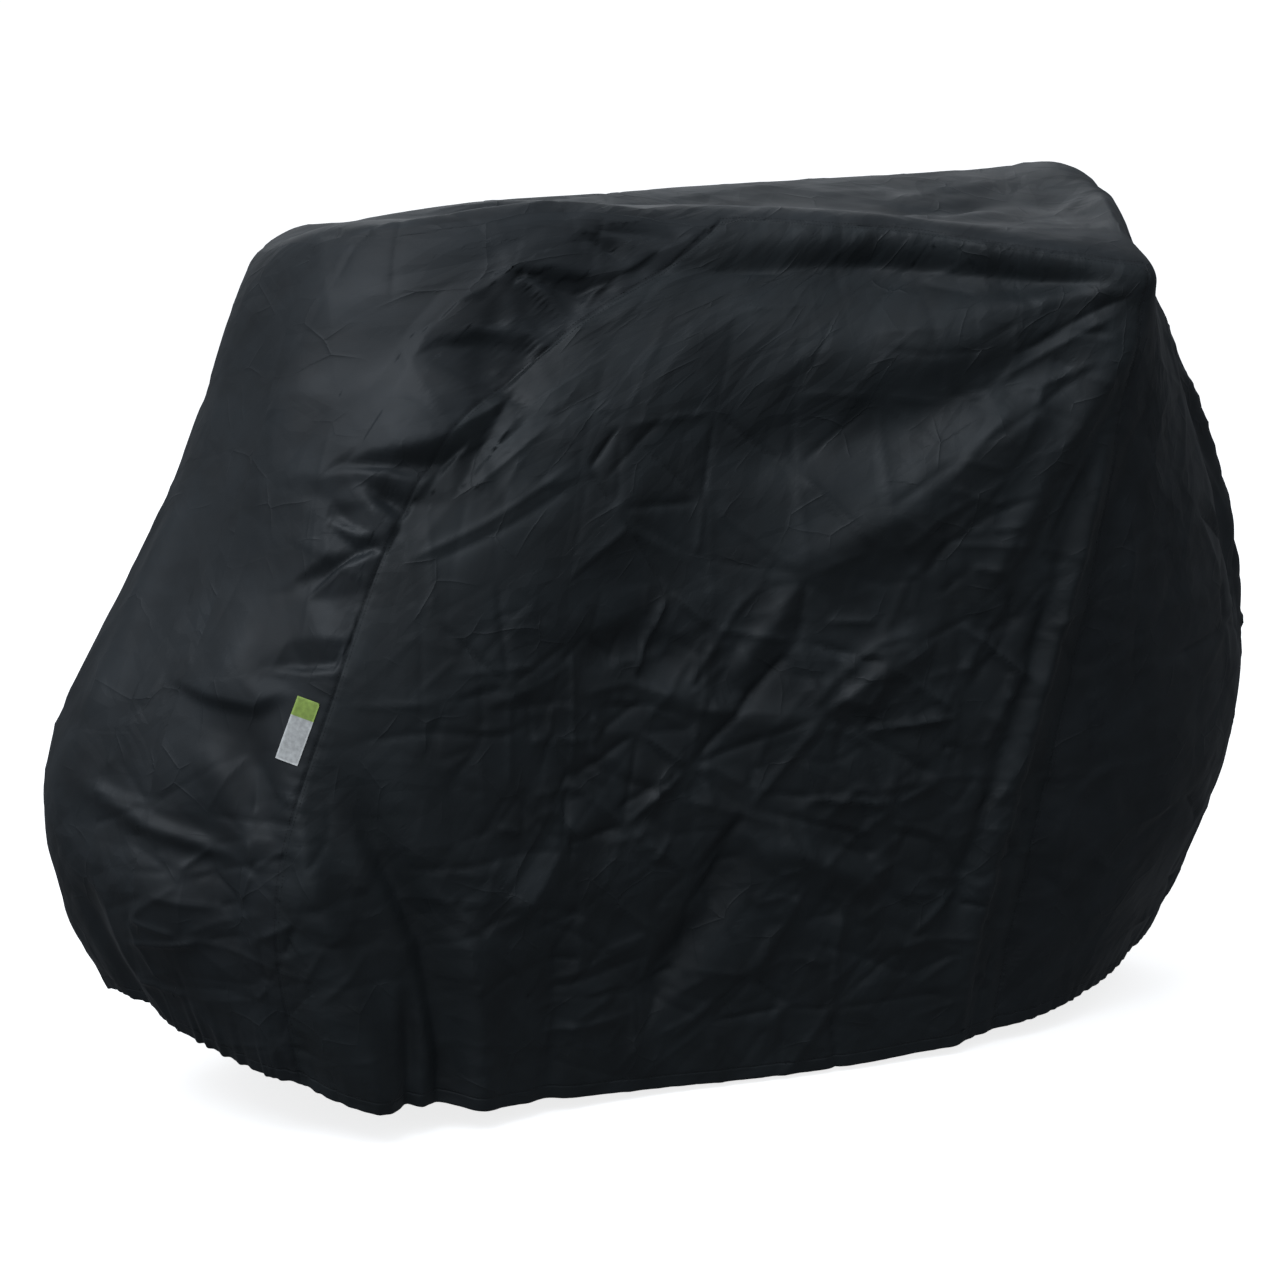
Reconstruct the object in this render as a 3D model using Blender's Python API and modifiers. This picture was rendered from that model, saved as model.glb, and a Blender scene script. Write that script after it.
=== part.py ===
"""A bicycle cover as it hangs over parked bicycles, in metres, Z up.

Three pieces of cloth and a tab: two side panels, and one long gusset that runs up the left end, along
the top and down the right end. X runs along the bicycles, the near side faces -Y, and the origin is on
the ground under the middle of the cover.
"""

from collections import namedtuple

import bmesh
import bpy
import numpy as np
from mathutils import Matrix, Vector
from mathutils.bvhtree import BVHTree

Line = namedtuple("Line", "hem top x y")
Fold = namedtuple("Fold", "height left right path")
Side = namedtuple("Side", "axes facing")
Peak = namedtuple("Peak", "place push reach")
Zone = namedtuple("Zone", "reach path")
Finish = namedtuple("Finish", "colour roughness")

# ---------------------------------------------------------------- driving dimensions
CLOTH = 0.002  # thickness of the coated cloth
SEAM_GAP = 0.0003  # between two pieces that are sewn together
SMOOTH_LEVELS = 2  # subdivisions between the coarse cage and the skin
FITTING_ROUNDS = 3  # corrections that bring the skin onto the lines
ROOF_CROWN = 0.008  # how far the middle of the top stands above its edges
ACROSS_ROOF = 3  # columns of the cage across the top

LABEL_LENGTH, LABEL_WIDTH, LABEL_THICKNESS = 0.084, 0.030, 0.0012
LABEL_MIDDLE = (-0.623, 0.545)  # x and z of the label on the near side
LABEL_LEAN = 16.0  # degrees that its upper end leans to the right
LABEL_CLEAR = 1.1  # the cloth is felt for over this many times the label's size
LABEL_PROBES = 25  # places felt for each way

# The lines and folds below are measured from a point on the ground under the roof. The part's origin, the
# middle of the finished cover at its lowest hem, lies here from that point.
ORIGIN = (0.048, -0.016, -0.007)

# The heights at which the lines below are given, as shares of the way from the hem to the top edge:
# hem, knee, waist, chest, shoulder and top.
STATIONS = (0.0, 0.25, 0.50, 0.70, 0.86, 1.0)
# The rows of the cage up the walls, as the same shares.
WALL_ROWS = (0.0, 0.12, 0.29, 0.48, 0.67, 0.85, 1.0)

# Lines that run up the cover, in order round it: the heights of the hem and of the top edge, then x and y
# at the six stations.
LINES = {
    "near_left": Line(
        hem=0.118, top=1.135,
        x=(-0.725, -0.80, -0.70, -0.60, -0.54, -0.48), y=(-0.08, -0.12, -0.10, -0.06, -0.03, 0.0),
    ),
    "near_seam_left": Line(
        hem=0.065, top=1.155,
        x=(-0.62, -0.66, -0.57, -0.46, -0.26, 0.06), y=(-0.22, -0.25, -0.26, -0.24, -0.20, -0.14),
    ),
    "near_middle": Line(
        hem=0.0, top=1.135,
        x=(-0.10, -0.10, -0.06, 0.02, 0.15, 0.30), y=(-0.26, -0.30, -0.30, -0.285, -0.265, -0.24),
    ),
    "near_seam_right": Line(
        hem=0.01, top=1.095,
        x=(0.41, 0.445, 0.495, 0.527, 0.545, 0.558), y=(-0.28, -0.32, -0.35, -0.365, -0.375, -0.37),
    ),
    "near_right": Line(
        hem=0.065, top=1.12,
        x=(0.79, 0.913, 0.914, 0.825, 0.725, 0.645), y=(-0.11, -0.13, -0.135, -0.17, -0.22, -0.20),
    ),
    "nose_right": Line(
        hem=0.085, top=1.155,
        x=(0.85, 0.93, 0.93, 0.867, 0.797, 0.762), y=(0.0, 0.0, 0.0, -0.02, -0.02, 0.0),
    ),
    "far_right": Line(
        hem=0.045, top=1.165,
        x=(0.77, 0.88, 0.88, 0.85, 0.815, 0.785), y=(0.12, 0.14, 0.15, 0.15, 0.15, 0.14),
    ),
    "far_seam_right": Line(
        hem=0.0, top=1.165,
        x=(0.50, 0.56, 0.56, 0.55, 0.54, 0.52), y=(0.25, 0.30, 0.31, 0.29, 0.25, 0.19),
    ),
    "far_middle": Line(
        hem=0.0, top=1.155,
        x=(0.03, 0.03, 0.03, 0.03, 0.03, 0.03), y=(0.27, 0.32, 0.32, 0.30, 0.26, 0.18),
    ),
    "far_seam_left": Line(
        hem=0.02, top=1.135,
        x=(-0.45, -0.50, -0.48, -0.42, -0.36, -0.28), y=(0.26, 0.31, 0.33, 0.33, 0.31, 0.23),
    ),
    "far_left": Line(
        hem=0.12, top=1.105,
        x=(-0.68, -0.78, -0.67, -0.54, -0.46, -0.40), y=(0.15, 0.20, 0.24, 0.27, 0.29, 0.28),
    ),
    "nose_left": Line(
        hem=0.155, top=1.105,
        x=(-0.775, -0.862, -0.757, -0.62, -0.535, -0.47), y=(0.03, 0.05, 0.10, 0.16, 0.21, 0.20),
    ),
}
PLACES = list(LINES)
# Columns of the cage between each line of a side and the next; an end has two columns beside its nose.
COLUMNS = {
    "near_left": 3, "near_seam_left": 3, "near_middle": 2, "near_seam_right": 2,
    "far_right": 2, "far_seam_right": 2, "far_middle": 3, "far_seam_left": 3,
}

# Folds of each side: how far the fold stands out (less than 0 for a trough), the width of its left and of
# its right flank as one goes along it, and the points it runs through. A point is x and z on the near and
# far sides, y and z on the ends, and x and y on the roof.
FOLDS = {
    "near": [
        # The crest where the smooth left front turns over, and the slack between it and the slanted seam.
        Fold(0.026, 0.080, 0.100, (
            (0.02, 1.19), (-0.15, 1.145), (-0.27, 1.10), (-0.37, 1.03), (-0.45, 0.94), (-0.52, 0.865),
            (-0.60, 0.78), (-0.66, 0.68)
        )),
        Fold(-0.012, 0.080, 0.045, (
            (0.08, 1.17), (-0.10, 1.10), (-0.25, 1.01), (-0.355, 0.92), (-0.47, 0.82), (-0.535, 0.73),
            (-0.60, 0.58)
        )),
        # The swags between the crest and the seam, from the top down.
        Fold(-0.010, 0.022, 0.022, ((-0.16, 1.13), (-0.08, 1.105))),
        Fold(-0.018, 0.024, 0.022, ((-0.26, 1.085), (-0.20, 1.07), (-0.14, 1.075))),
        Fold(0.010, 0.024, 0.024, ((-0.29, 1.08), (-0.23, 1.01))),
        Fold(-0.018, 0.024, 0.024, ((-0.38, 0.995), (-0.32, 0.985), (-0.26, 0.985))),
        Fold(0.022, 0.024, 0.045, ((-0.30, 0.955), (-0.41, 0.92), (-0.50, 0.875))),
        Fold(-0.018, 0.024, 0.022, ((-0.51, 0.86), (-0.41, 0.89), (-0.33, 0.91))),
        Fold(0.010, 0.022, 0.024, ((-0.56, 0.84), (-0.49, 0.85), (-0.42, 0.845))),
        Fold(-0.014, 0.022, 0.022, ((-0.51, 0.84), (-0.47, 0.80))),
        Fold(-0.012, 0.022, 0.022, ((-0.60, 0.705), (-0.55, 0.75), (-0.50, 0.775))),
        Fold(-0.010, 0.022, 0.024, ((-0.65, 0.625), (-0.56, 0.625))),
        # The cloth that is pulled from the corner over the bar's end.
        Fold(-0.022, 0.045, 0.045, ((0.54, 1.03), (0.38, 0.95), (0.23, 0.89), (-0.08, 0.83))),
        Fold(0.020, 0.045, 0.040, ((0.47, 0.95), (0.30, 0.83), (0.15, 0.74), (0.00, 0.67))),
        Fold(-0.018, 0.030, 0.025, ((0.02, 1.115), (0.30, 1.095), (0.54, 1.07))),
        Fold(0.014, 0.060, 0.050, ((0.00, 0.99), (0.20, 0.985), (0.38, 1.01))),
        Fold(0.009, 0.018, 0.018, ((0.60, 1.07), (0.28, 1.03))),
        Fold(0.013, 0.024, 0.024, ((0.58, 1.05), (0.42, 0.82), (0.30, 0.58))),
        Fold(-0.012, 0.022, 0.022, ((0.57, 1.00), (0.46, 0.74), (0.38, 0.42))),
        Fold(0.014, 0.030, 0.020, ((0.58, 1.06), (0.52, 0.75), (0.47, 0.40), (0.43, 0.12), (0.42, -0.15))),
        Fold(-0.014, 0.024, 0.030, ((0.63, 1.00), (0.575, 0.73), (0.52, 0.40), (0.49, -0.15))),
        # Packing creases and crumples in the middle.
        Fold(0.012, 0.022, 0.022, ((-0.20, 0.575), (-0.03, 0.52), (0.13, 0.475))),
        Fold(0.011, 0.020, 0.020, ((-0.04, 0.54), (0.01, 0.61), (0.08, 0.69))),
        Fold(0.011, 0.022, 0.022, ((0.11, 0.49), (0.18, 0.56), (0.28, 0.61))),
        Fold(-0.012, 0.030, 0.030, ((-0.30, 0.60), (-0.16, 0.63), (-0.08, 0.57))),
        Fold(-0.018, 0.030, 0.030, ((-0.01, 0.37), (-0.06, 0.24), (-0.17, 0.10))),
        Fold(0.012, 0.022, 0.022, ((-0.01, 0.35), (0.10, 0.30), (0.23, 0.25))),
        Fold(0.010, 0.025, 0.025, ((-0.36, 0.26), (-0.28, 0.36), (-0.22, 0.43))),
        # Gathers that the elastic draws together at the left of the hem.
        Fold(0.018, 0.030, 0.028, ((-0.68, 0.36), (-0.61, 0.22), (-0.57, -0.10))),
        Fold(0.018, 0.030, 0.030, ((-0.61, 0.50), (-0.56, 0.32), (-0.525, 0.12), (-0.52, -0.10))),
        Fold(-0.014, 0.020, 0.020, ((-0.64, 0.44), (-0.585, 0.25), (-0.55, -0.10))),
        Fold(-0.032, 0.026, 0.020, ((-0.51, 0.38), (-0.475, 0.24), (-0.45, 0.13), (-0.46, -0.10))),
        Fold(0.014, 0.024, 0.030, ((-0.44, 0.30), (-0.42, 0.14), (-0.42, -0.10))),
        Fold(-0.010, 0.022, 0.022, ((-0.28, 0.28), (-0.28, -0.10))),
        # The left facet: the corner of a basket, its drag lines and the crease over the wheel.
        Fold(0.018, 0.040, 0.014, ((-0.735, 0.60), (-0.70, 0.580), (-0.66, 0.572), (-0.62, 0.60))),
        Fold(-0.014, 0.024, 0.024, ((-0.68, 0.57), (-0.67, 0.44), (-0.64, 0.32))),
        Fold(0.010, 0.024, 0.024, ((-0.72, 0.54), (-0.69, 0.44), (-0.66, 0.34))),
        Fold(0.012, 0.020, 0.020, ((-0.85, 0.46), (-0.78, 0.405), (-0.69, 0.365))),
    ],
    "far": [
        Fold(-0.024, 0.050, 0.045, ((-0.45, 0.98), (-0.20, 0.84), (0.12, 0.72))),
        Fold(0.018, 0.045, 0.045, ((-0.45, 0.90), (-0.25, 0.72), (-0.05, 0.50))),
        Fold(0.014, 0.030, 0.030, ((-0.47, 0.95), (-0.38, 0.60), (-0.36, 0.28))),
        Fold(-0.014, 0.030, 0.030, ((-0.44, 0.85), (-0.32, 0.50), (-0.28, 0.20))),
        Fold(0.014, 0.050, 0.050, ((-0.10, 1.00), (0.12, 0.96), (0.34, 0.99))),
        Fold(-0.022, 0.045, 0.035, ((0.50, 1.10), (0.42, 0.96), (0.44, 0.78))),
        Fold(0.020, 0.035, 0.035, ((0.60, 1.05), (0.38, 0.90), (0.16, 0.83))),
        Fold(0.012, 0.026, 0.026, ((0.60, 0.90), (0.40, 0.74), (0.20, 0.62))),
        Fold(0.012, 0.024, 0.024, ((-0.12, 0.56), (0.06, 0.50), (0.30, 0.53))),
        Fold(-0.014, 0.030, 0.030, ((0.02, 0.44), (0.08, 0.26), (0.20, 0.10))),
        Fold(-0.024, 0.026, 0.024, ((0.46, 0.36), (0.43, 0.16), (0.44, -0.10))),
        Fold(0.016, 0.028, 0.028, ((0.53, 0.40), (0.50, 0.18), (0.49, -0.10))),
        Fold(0.014, 0.028, 0.028, ((0.37, 0.30), (0.36, 0.12), (0.36, -0.10))),
        Fold(-0.012, 0.026, 0.026, ((-0.14, 0.26), (-0.13, -0.10))),
    ],
    "left": [
        Fold(0.010, 0.026, 0.026, ((0.10, 0.85), (0.02, 0.62), (-0.02, 0.42))),
        Fold(-0.012, 0.030, 0.030, ((0.22, 0.90), (0.16, 0.62), (0.14, 0.35))),
        Fold(0.012, 0.026, 0.026, ((0.27, 0.80), (0.22, 0.55), (0.19, 0.25))),
        Fold(-0.012, 0.022, 0.022, ((-0.02, 0.34), (-0.03, 0.05))),
        Fold(0.010, 0.022, 0.022, ((0.06, 0.32), (0.07, 0.05))),
        Fold(-0.012, 0.022, 0.022, ((0.14, 0.30), (0.13, 0.05))),
    ],
    "right": [
        Fold(-0.014, 0.026, 0.026, ((-0.24, 1.02), (-0.17, 0.75), (-0.14, 0.45))),
        Fold(0.012, 0.022, 0.022, ((-0.20, 0.98), (-0.11, 0.72), (-0.09, 0.45))),
        Fold(-0.014, 0.028, 0.028, ((-0.10, 1.02), (-0.04, 0.74), (-0.03, 0.42))),
        Fold(0.010, 0.024, 0.024, ((0.04, 1.00), (0.05, 0.70), (0.04, 0.35))),
        Fold(-0.012, 0.026, 0.026, ((0.12, 0.96), (0.11, 0.64), (0.10, 0.30))),
        Fold(-0.012, 0.022, 0.022, ((-0.05, 0.30), (-0.05, -0.05))),
        Fold(0.010, 0.022, 0.022, ((0.02, 0.30), (0.02, -0.05))),
    ],
    "roof": [
        Fold(-0.008, 0.030, 0.030, ((-0.40, 0.10), (-0.10, 0.02), (0.20, 0.00))),
        Fold(0.008, 0.025, 0.025, ((0.28, -0.14), (0.42, -0.13), (0.55, -0.08))),
        Fold(-0.008, 0.025, 0.025, ((0.30, -0.06), (0.46, -0.05), (0.62, 0.00))),
    ],
}
# How each side is laid out flat: the two axes that its points are given on, and the way that it faces.
SIDES = {
    "near": Side((0, 2), (0, -1, 0)),
    "far": Side((0, 2), (0, 1, 0)),
    "left": Side((1, 2), (-1, 0, 0)),
    "right": Side((1, 2), (1, 0, 0)),
    "roof": Side((0, 1), (0, 0, 1)),
}
FACES_BY = (0.10, 0.40)  # how squarely the skin faces a side where that side's folds begin, and are full
FADE = 0.30  # share of a fold's length over which each end dies away

# Where something hard under the cloth pushes it out: the place, the push and how far it reaches.
PEAKS = (
    Peak((0.562, -0.37, 1.080), (0.005, -0.016, -0.004), 0.045),  # the bar's end, near right
    Peak((-0.450, 0.27, 1.100), (-0.010, 0.016, 0.000), 0.060),  # the other bar's end, far left
    Peak((-0.660, -0.15, 0.630), (-0.012, -0.016, 0.000), 0.055),  # the basket's corner
    Peak((-0.760, -0.12, 0.300), (-0.012, -0.012, 0.000), 0.090),  # the wheel's tread, near left
)

# Where the near side's folds are small the skin is cut once more: the reach to each side of a path, and
# the path, in x and z.
FINE_ZONES = (
    Zone(0.090, ((-0.05, 1.10), (-0.22, 1.06), (-0.36, 0.95), (-0.48, 0.82), (-0.56, 0.70))),
    Zone(0.120, ((-0.56, 0.36), (-0.52, 0.20), (-0.50, 0.00))),
)
ZONE_SMOOTHINGS = 3  # passes that round the skin off again where it was cut

FINISH = {
    "side_panel_near": Finish((0.013, 0.016, 0.018), 0.52),
    "side_panel_far": Finish((0.013, 0.016, 0.018), 0.52),
    "gusset": Finish((0.014, 0.016, 0.019), 0.50),
    "seam_label": Finish((0.62, 0.64, 0.63), 0.60),
}


# ---------------------------------------------------------------- curves
def curve(knots, values, at):
    """The smooth curve through the values at the knots, read at one place."""
    knots, values = np.asarray(knots, float), np.asarray(values, float)
    slopes = np.gradient(values, knots, axis=0)
    k = int(np.clip(np.searchsorted(knots, at, side="right") - 1, 0, len(knots) - 2))
    span = knots[k + 1] - knots[k]
    t = (at - knots[k]) / span
    rise = t * t * (3 - 2 * t)
    lead_in, lead_out = t * (1 - t) ** 2 * span, -t * t * (1 - t) * span
    return (1 - rise) * values[k] + rise * values[k + 1] + lead_in * slopes[k] + lead_out * slopes[k + 1]


def line_point(place, share):
    """The point of one line at a share of the way from its hem to its top."""
    line = LINES[place]
    height = line.hem + share * (line.top - line.hem)
    return np.array([curve(STATIONS, line.x, share), curve(STATIONS, line.y, share), height])


def outline_point(points, place, part):
    """A point of the closed outline through the points, part of the way from one place to the next."""
    at = [points[(place + k) % len(points)] for k in (-1, 0, 1, 2)]
    steps = [np.linalg.norm(at[k + 1] - at[k]) for k in range(3)]
    knots = np.concatenate([[0.0], np.cumsum(steps)])
    return curve(knots, at, knots[1] + part * steps[1])


def eased(amount):
    """From 0 to 1 with a soft start and a soft end."""
    amount = np.clip(amount, 0.0, 1.0)
    return amount * amount * (3 - 2 * amount)


# ---------------------------------------------------------------- the cage and the skin
def wall_columns():
    """The columns of the cage round the walls: the place each follows and the part of the way on."""
    columns = []
    for number, place in enumerate(PLACES):
        if place.startswith("nose"):
            columns.append((number, 1 / 3))
        elif place in COLUMNS:
            columns += [(number, k / COLUMNS[place]) for k in range(COLUMNS[place])]
        else:
            columns += [(number, 0.0), (number, 2 / 3)]
    return columns


def build_cage():
    """The coarse mesh of the whole cover: its points, its faces, and the panel of each face."""
    columns = wall_columns()
    around = len(columns)
    start = {place: columns.index((n, 0.0)) for n, place in enumerate(PLACES) if (n, 0.0) in columns}
    panels = {
        "side_panel_near": range(start["near_seam_left"], start["near_seam_right"]),
        "side_panel_far": range(start["far_seam_right"], start["far_seam_left"]),
    }
    points, faces, owners = [], [], []
    for share in WALL_ROWS:
        section = [line_point(place, share) for place in PLACES]
        points += [outline_point(section, *column) for column in columns]
    for row in range(len(WALL_ROWS) - 1):
        for column in range(around):
            low, high, after = row * around, (row + 1) * around, (column + 1) % around
            faces.append((low + column, low + after, high + after, high + column))
            owners.append(next((name for name, span in panels.items() if column in span), "gusset"))
    # The roof joins the top row of the near wall to the top row of the far wall.
    top = (len(WALL_ROWS) - 1) * around
    length = start["near_right"] - start["near_left"]
    grid = [[None] * (length + 1) for _ in range(ACROSS_ROOF + 1)]
    grid[0] = [top + start["near_left"] + k for k in range(length + 1)]
    grid[-1] = [top + start["far_right"] + length - k for k in range(length + 1)]
    for j in range(1, ACROSS_ROOF):
        share = j / ACROSS_ROOF
        grid[j][0] = top + (start["near_left"] - j) % around
        grid[j][-1] = top + start["near_right"] + j
        for k in range(1, length):
            grid[j][k] = len(points)
            level = points[grid[0][k]] * (1 - share) + points[grid[-1][k]] * share
            points.append(level + np.array([0, 0, ROOF_CROWN * 4 * share * (1 - share)]))
    for j in range(ACROSS_ROOF):
        for k in range(length):
            faces.append((grid[j][k], grid[j][k + 1], grid[j + 1][k + 1], grid[j + 1][k]))
            owners.append("gusset")
    return np.array(points), faces, owners


def coordinates(mesh):
    """A mesh's points, as rows of x, y and z."""
    flat = np.empty(3 * len(mesh.vertices))
    mesh.vertices.foreach_get("co", flat)
    return flat.reshape(-1, 3)


def smoothed(points, faces):
    """The mesh that smooths a cage; its first points are the cage's own, in the same order."""
    mesh = bpy.data.meshes.new("cage")
    mesh.from_pydata(points.tolist(), [], faces)
    cage = bpy.data.objects.new("cage", mesh)
    bpy.context.scene.collection.objects.link(cage)
    smooth = cage.modifiers.new("smooth", "SUBSURF")
    smooth.levels = smooth.render_levels = SMOOTH_LEVELS
    graph = bpy.context.evaluated_depsgraph_get()
    result = bpy.data.meshes.new_from_object(cage.evaluated_get(graph))
    bpy.data.objects.remove(cage)
    bpy.data.meshes.remove(mesh)
    return result


def build_skin():
    """The smooth, thin surface of the whole cover, and the names of the panels its faces belong to."""
    wanted, faces, owners = build_cage()
    points = wanted.copy()
    # Smoothing draws a cage inwards, so its points move out until the skin passes through the lines.
    for _ in range(FITTING_ROUNDS):
        points += wanted - coordinates(smoothed(points, faces))[: len(points)]
    mesh = smoothed(points, faces)
    names = sorted(set(owners))
    each = len(mesh.polygons) // len(faces)
    skin = bmesh.new()
    skin.from_mesh(mesh)
    bpy.data.meshes.remove(mesh)
    for face in skin.faces:
        face.material_index = names.index(owners[face.index // each])
    return skin, names


# ---------------------------------------------------------------- folds
def along(path, flat):
    """For each flat point: how far to the left of the path it lies, and how far along the path."""
    path = np.array(path)
    steps = np.diff(path, axis=0)
    lengths = np.linalg.norm(steps, axis=1)
    passed = np.concatenate([[0.0], np.cumsum(lengths)])
    nearest = np.full(len(flat), np.inf)
    offset, travelled = np.zeros(len(flat)), np.zeros(len(flat))
    for k, step in enumerate(steps):
        share = np.clip((flat - path[k]) @ step / lengths[k] ** 2, 0, 1)
        gap = flat - path[k] - share[:, None] * step
        distance = np.linalg.norm(gap, axis=1)
        closer = distance < nearest
        side = np.sign(step[0] * gap[:, 1] - step[1] * gap[:, 0])
        nearest[closer] = distance[closer]
        offset[closer] = (side * distance)[closer]
        travelled[closer] = ((passed[k] + share * lengths[k]) / passed[-1])[closer]
    return offset, travelled


def fold_heights(points, normals):
    """How far the folds lift each point of the skin along its normal."""
    lift = np.zeros(len(points))
    for name, side in SIDES.items():
        flat = points[:, side.axes]
        faces_it = eased((normals @ np.array(side.facing) - FACES_BY[0]) / (FACES_BY[1] - FACES_BY[0]))
        for fold in FOLDS[name]:
            offset, travelled = along(fold.path, flat)
            flank = np.where(offset > 0, fold.left, fold.right)
            ends = eased(travelled / FADE) * eased((1 - travelled) / FADE)
            lift += fold.height * np.exp(-((offset / flank) ** 2)) * ends * faces_it
    return lift


def peak_pushes(points):
    """How far the hard things under the cloth push each point of the skin."""
    push = np.zeros_like(points)
    for peak in PEAKS:
        distance = np.linalg.norm(points - np.array(peak.place), axis=1)
        push += np.exp(-((distance / peak.reach) ** 2))[:, None] * np.array(peak.push)
    return push


def cut_fine(skin):
    """Cuts the skin's faces once more in the fine zones."""
    skin.normal_update()
    near = SIDES["near"]
    centres = np.array([face.calc_center_median() for face in skin.faces])
    turned = np.array([face.normal for face in skin.faces]) @ np.array(near.facing) > FACES_BY[0]
    chosen = np.zeros(len(centres), bool)
    for zone in FINE_ZONES:
        offset, _ = along(zone.path, centres[:, near.axes])
        chosen |= turned & (np.abs(offset) < zone.reach)
    skin.faces.ensure_lookup_table()
    edges = list({edge for number in np.flatnonzero(chosen) for edge in skin.faces[number].edges})
    cut = bmesh.ops.subdivide_edges(skin, edges=edges, cuts=1, use_grid_fill=True)
    added = [part for part in cut["geom_inner"] if isinstance(part, bmesh.types.BMVert)]
    inner = [vertex for vertex in added if not vertex.is_boundary]
    every_way = {"use_axis_x": True, "use_axis_y": True, "use_axis_z": True}
    for _ in range(ZONE_SMOOTHINGS):
        bmesh.ops.smooth_vert(skin, verts=inner, factor=0.5, **every_way)
    bmesh.ops.triangulate(skin, faces=[face for face in skin.faces if len(face.verts) > 4])


def shape_skin(skin):
    """Pushes the folds and the peaks into the skin, then measures it from the part's origin."""
    skin.normal_update()
    points = np.array([vertex.co for vertex in skin.verts])
    normals = np.array([vertex.normal for vertex in skin.verts])
    points += peak_pushes(points) + fold_heights(points, normals)[:, None] * normals
    points -= np.array(ORIGIN)
    for vertex, point in zip(skin.verts, points):
        vertex.co = point
    skin.normal_update()


# ---------------------------------------------------------------- the pieces
def cloth_material(name):
    """A plain cloth finish, named for its piece."""
    finish = FINISH[name]
    material = bpy.data.materials.new(name)
    material.use_nodes = True
    shader = material.node_tree.nodes["Principled BSDF"]
    shader.inputs["Base Color"].default_value = (*finish.colour, 1.0)
    shader.inputs["Roughness"].default_value = finish.roughness
    material.diffuse_color = (*finish.colour, 1.0)
    return material


def add_piece(name, mesh, collection):
    """Puts a mesh in the scene as one named piece with its own material."""
    piece = bpy.data.objects.new(name, mesh)
    piece.data.materials.clear()
    piece.data.materials.append(cloth_material(name))
    collection.objects.link(piece)
    return piece


def seam_setback(vertex, index):
    """The way back into a panel from a point of its seam, along the cloth and square to the seam."""
    inward, seam = Vector(), []
    for face in vertex.link_faces:
        if face.material_index == index:
            inward += (face.calc_center_median() - vertex.co).normalized()
    for edge in vertex.link_edges:
        if len({face.material_index for face in edge.link_faces}) > 1:
            seam.append(edge.other_vert(vertex).co)
    if not seam:
        return Vector()
    run = (seam[0] - (seam[1] if len(seam) > 1 else vertex.co)).normalized()
    inward -= inward.dot(vertex.normal) * vertex.normal
    inward -= inward.dot(run) * run
    return inward.normalized() * SEAM_GAP / 2


def cloth_panel(skin, names, name, collection):
    """One piece of cloth: its faces of the skin, and their copy on the inside. The inside follows the
    whole skin's normals, so that two pieces meet at a seam on a mitre."""
    index = names.index(name)
    panel = bmesh.new()
    outside, inside = {}, {}
    for face in skin.faces:
        if face.material_index != index:
            continue
        for vertex in face.verts:
            if vertex not in outside:
                place = vertex.co + seam_setback(vertex, index)
                outside[vertex] = panel.verts.new(place)
                inside[vertex] = panel.verts.new(place - vertex.normal * CLOTH)
        panel.faces.new([outside[vertex] for vertex in face.verts])
        panel.faces.new([inside[vertex] for vertex in reversed(face.verts)])
    for edge in skin.edges:
        own = [face for face in edge.link_faces if face.material_index == index]
        if len(own) == 1:
            first, second = edge.verts
            corners = [loop.vert for loop in own[0].loops]
            if corners[(corners.index(first) + 1) % len(corners)] != second:
                first, second = second, first
            panel.faces.new([outside[second], outside[first], inside[first], inside[second]])
    mesh = bpy.data.meshes.new(name)
    bmesh.ops.triangulate(panel, faces=panel.faces)
    panel.to_mesh(mesh)
    panel.free()
    mesh.shade_smooth()
    add_piece(name, mesh, collection)


def seam_label(skin, collection):
    """The flat woven tab: it lies against the near left seam, clear of the cloth's highest point."""
    tree = BVHTree.FromBMesh(skin)
    x, z = LABEL_MIDDLE
    middle, facing = tree.ray_cast(Vector((x, LINES["near_seam_right"].y[-1], z)), Vector((0, 1, 0)))[:2]
    up = Matrix.Rotation(np.radians(LABEL_LEAN), 3, "Y") @ Vector((0, 0, 1))
    up = (up - up.dot(facing) * facing).normalized()
    side = up.cross(facing)
    highest = 0.0
    for across in np.linspace(-0.5, 0.5, LABEL_PROBES) * LABEL_WIDTH * LABEL_CLEAR:
        for along_it in np.linspace(-0.5, 0.5, LABEL_PROBES) * LABEL_LENGTH * LABEL_CLEAR:
            start = middle + side * across + up * along_it + facing * LABEL_LENGTH
            touched = tree.ray_cast(start, -facing)[0]
            highest = max(highest, (touched - middle).dot(facing))
    mesh = bpy.data.meshes.new("seam_label")
    tab = bmesh.new()
    bmesh.ops.create_cube(tab, size=1.0)
    bmesh.ops.scale(tab, vec=(LABEL_WIDTH, LABEL_LENGTH, LABEL_THICKNESS), verts=tab.verts)
    tab.to_mesh(mesh)
    tab.free()
    label = add_piece("seam_label", mesh, collection)
    height = highest + SEAM_GAP + LABEL_THICKNESS / 2
    turn = Matrix((side, up, facing)).transposed().to_4x4()
    label.matrix_world = Matrix.Translation(middle + facing * height) @ turn


def main():
    """Builds the cover."""
    for old in list(bpy.data.objects):
        bpy.data.objects.remove(old)
    collection = bpy.data.collections.new("bicycle_cover")
    bpy.context.scene.collection.children.link(collection)
    skin, names = build_skin()
    cut_fine(skin)
    shape_skin(skin)
    for name in names:
        cloth_panel(skin, names, name, collection)
    seam_label(skin, collection)
    skin.free()


main()
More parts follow.
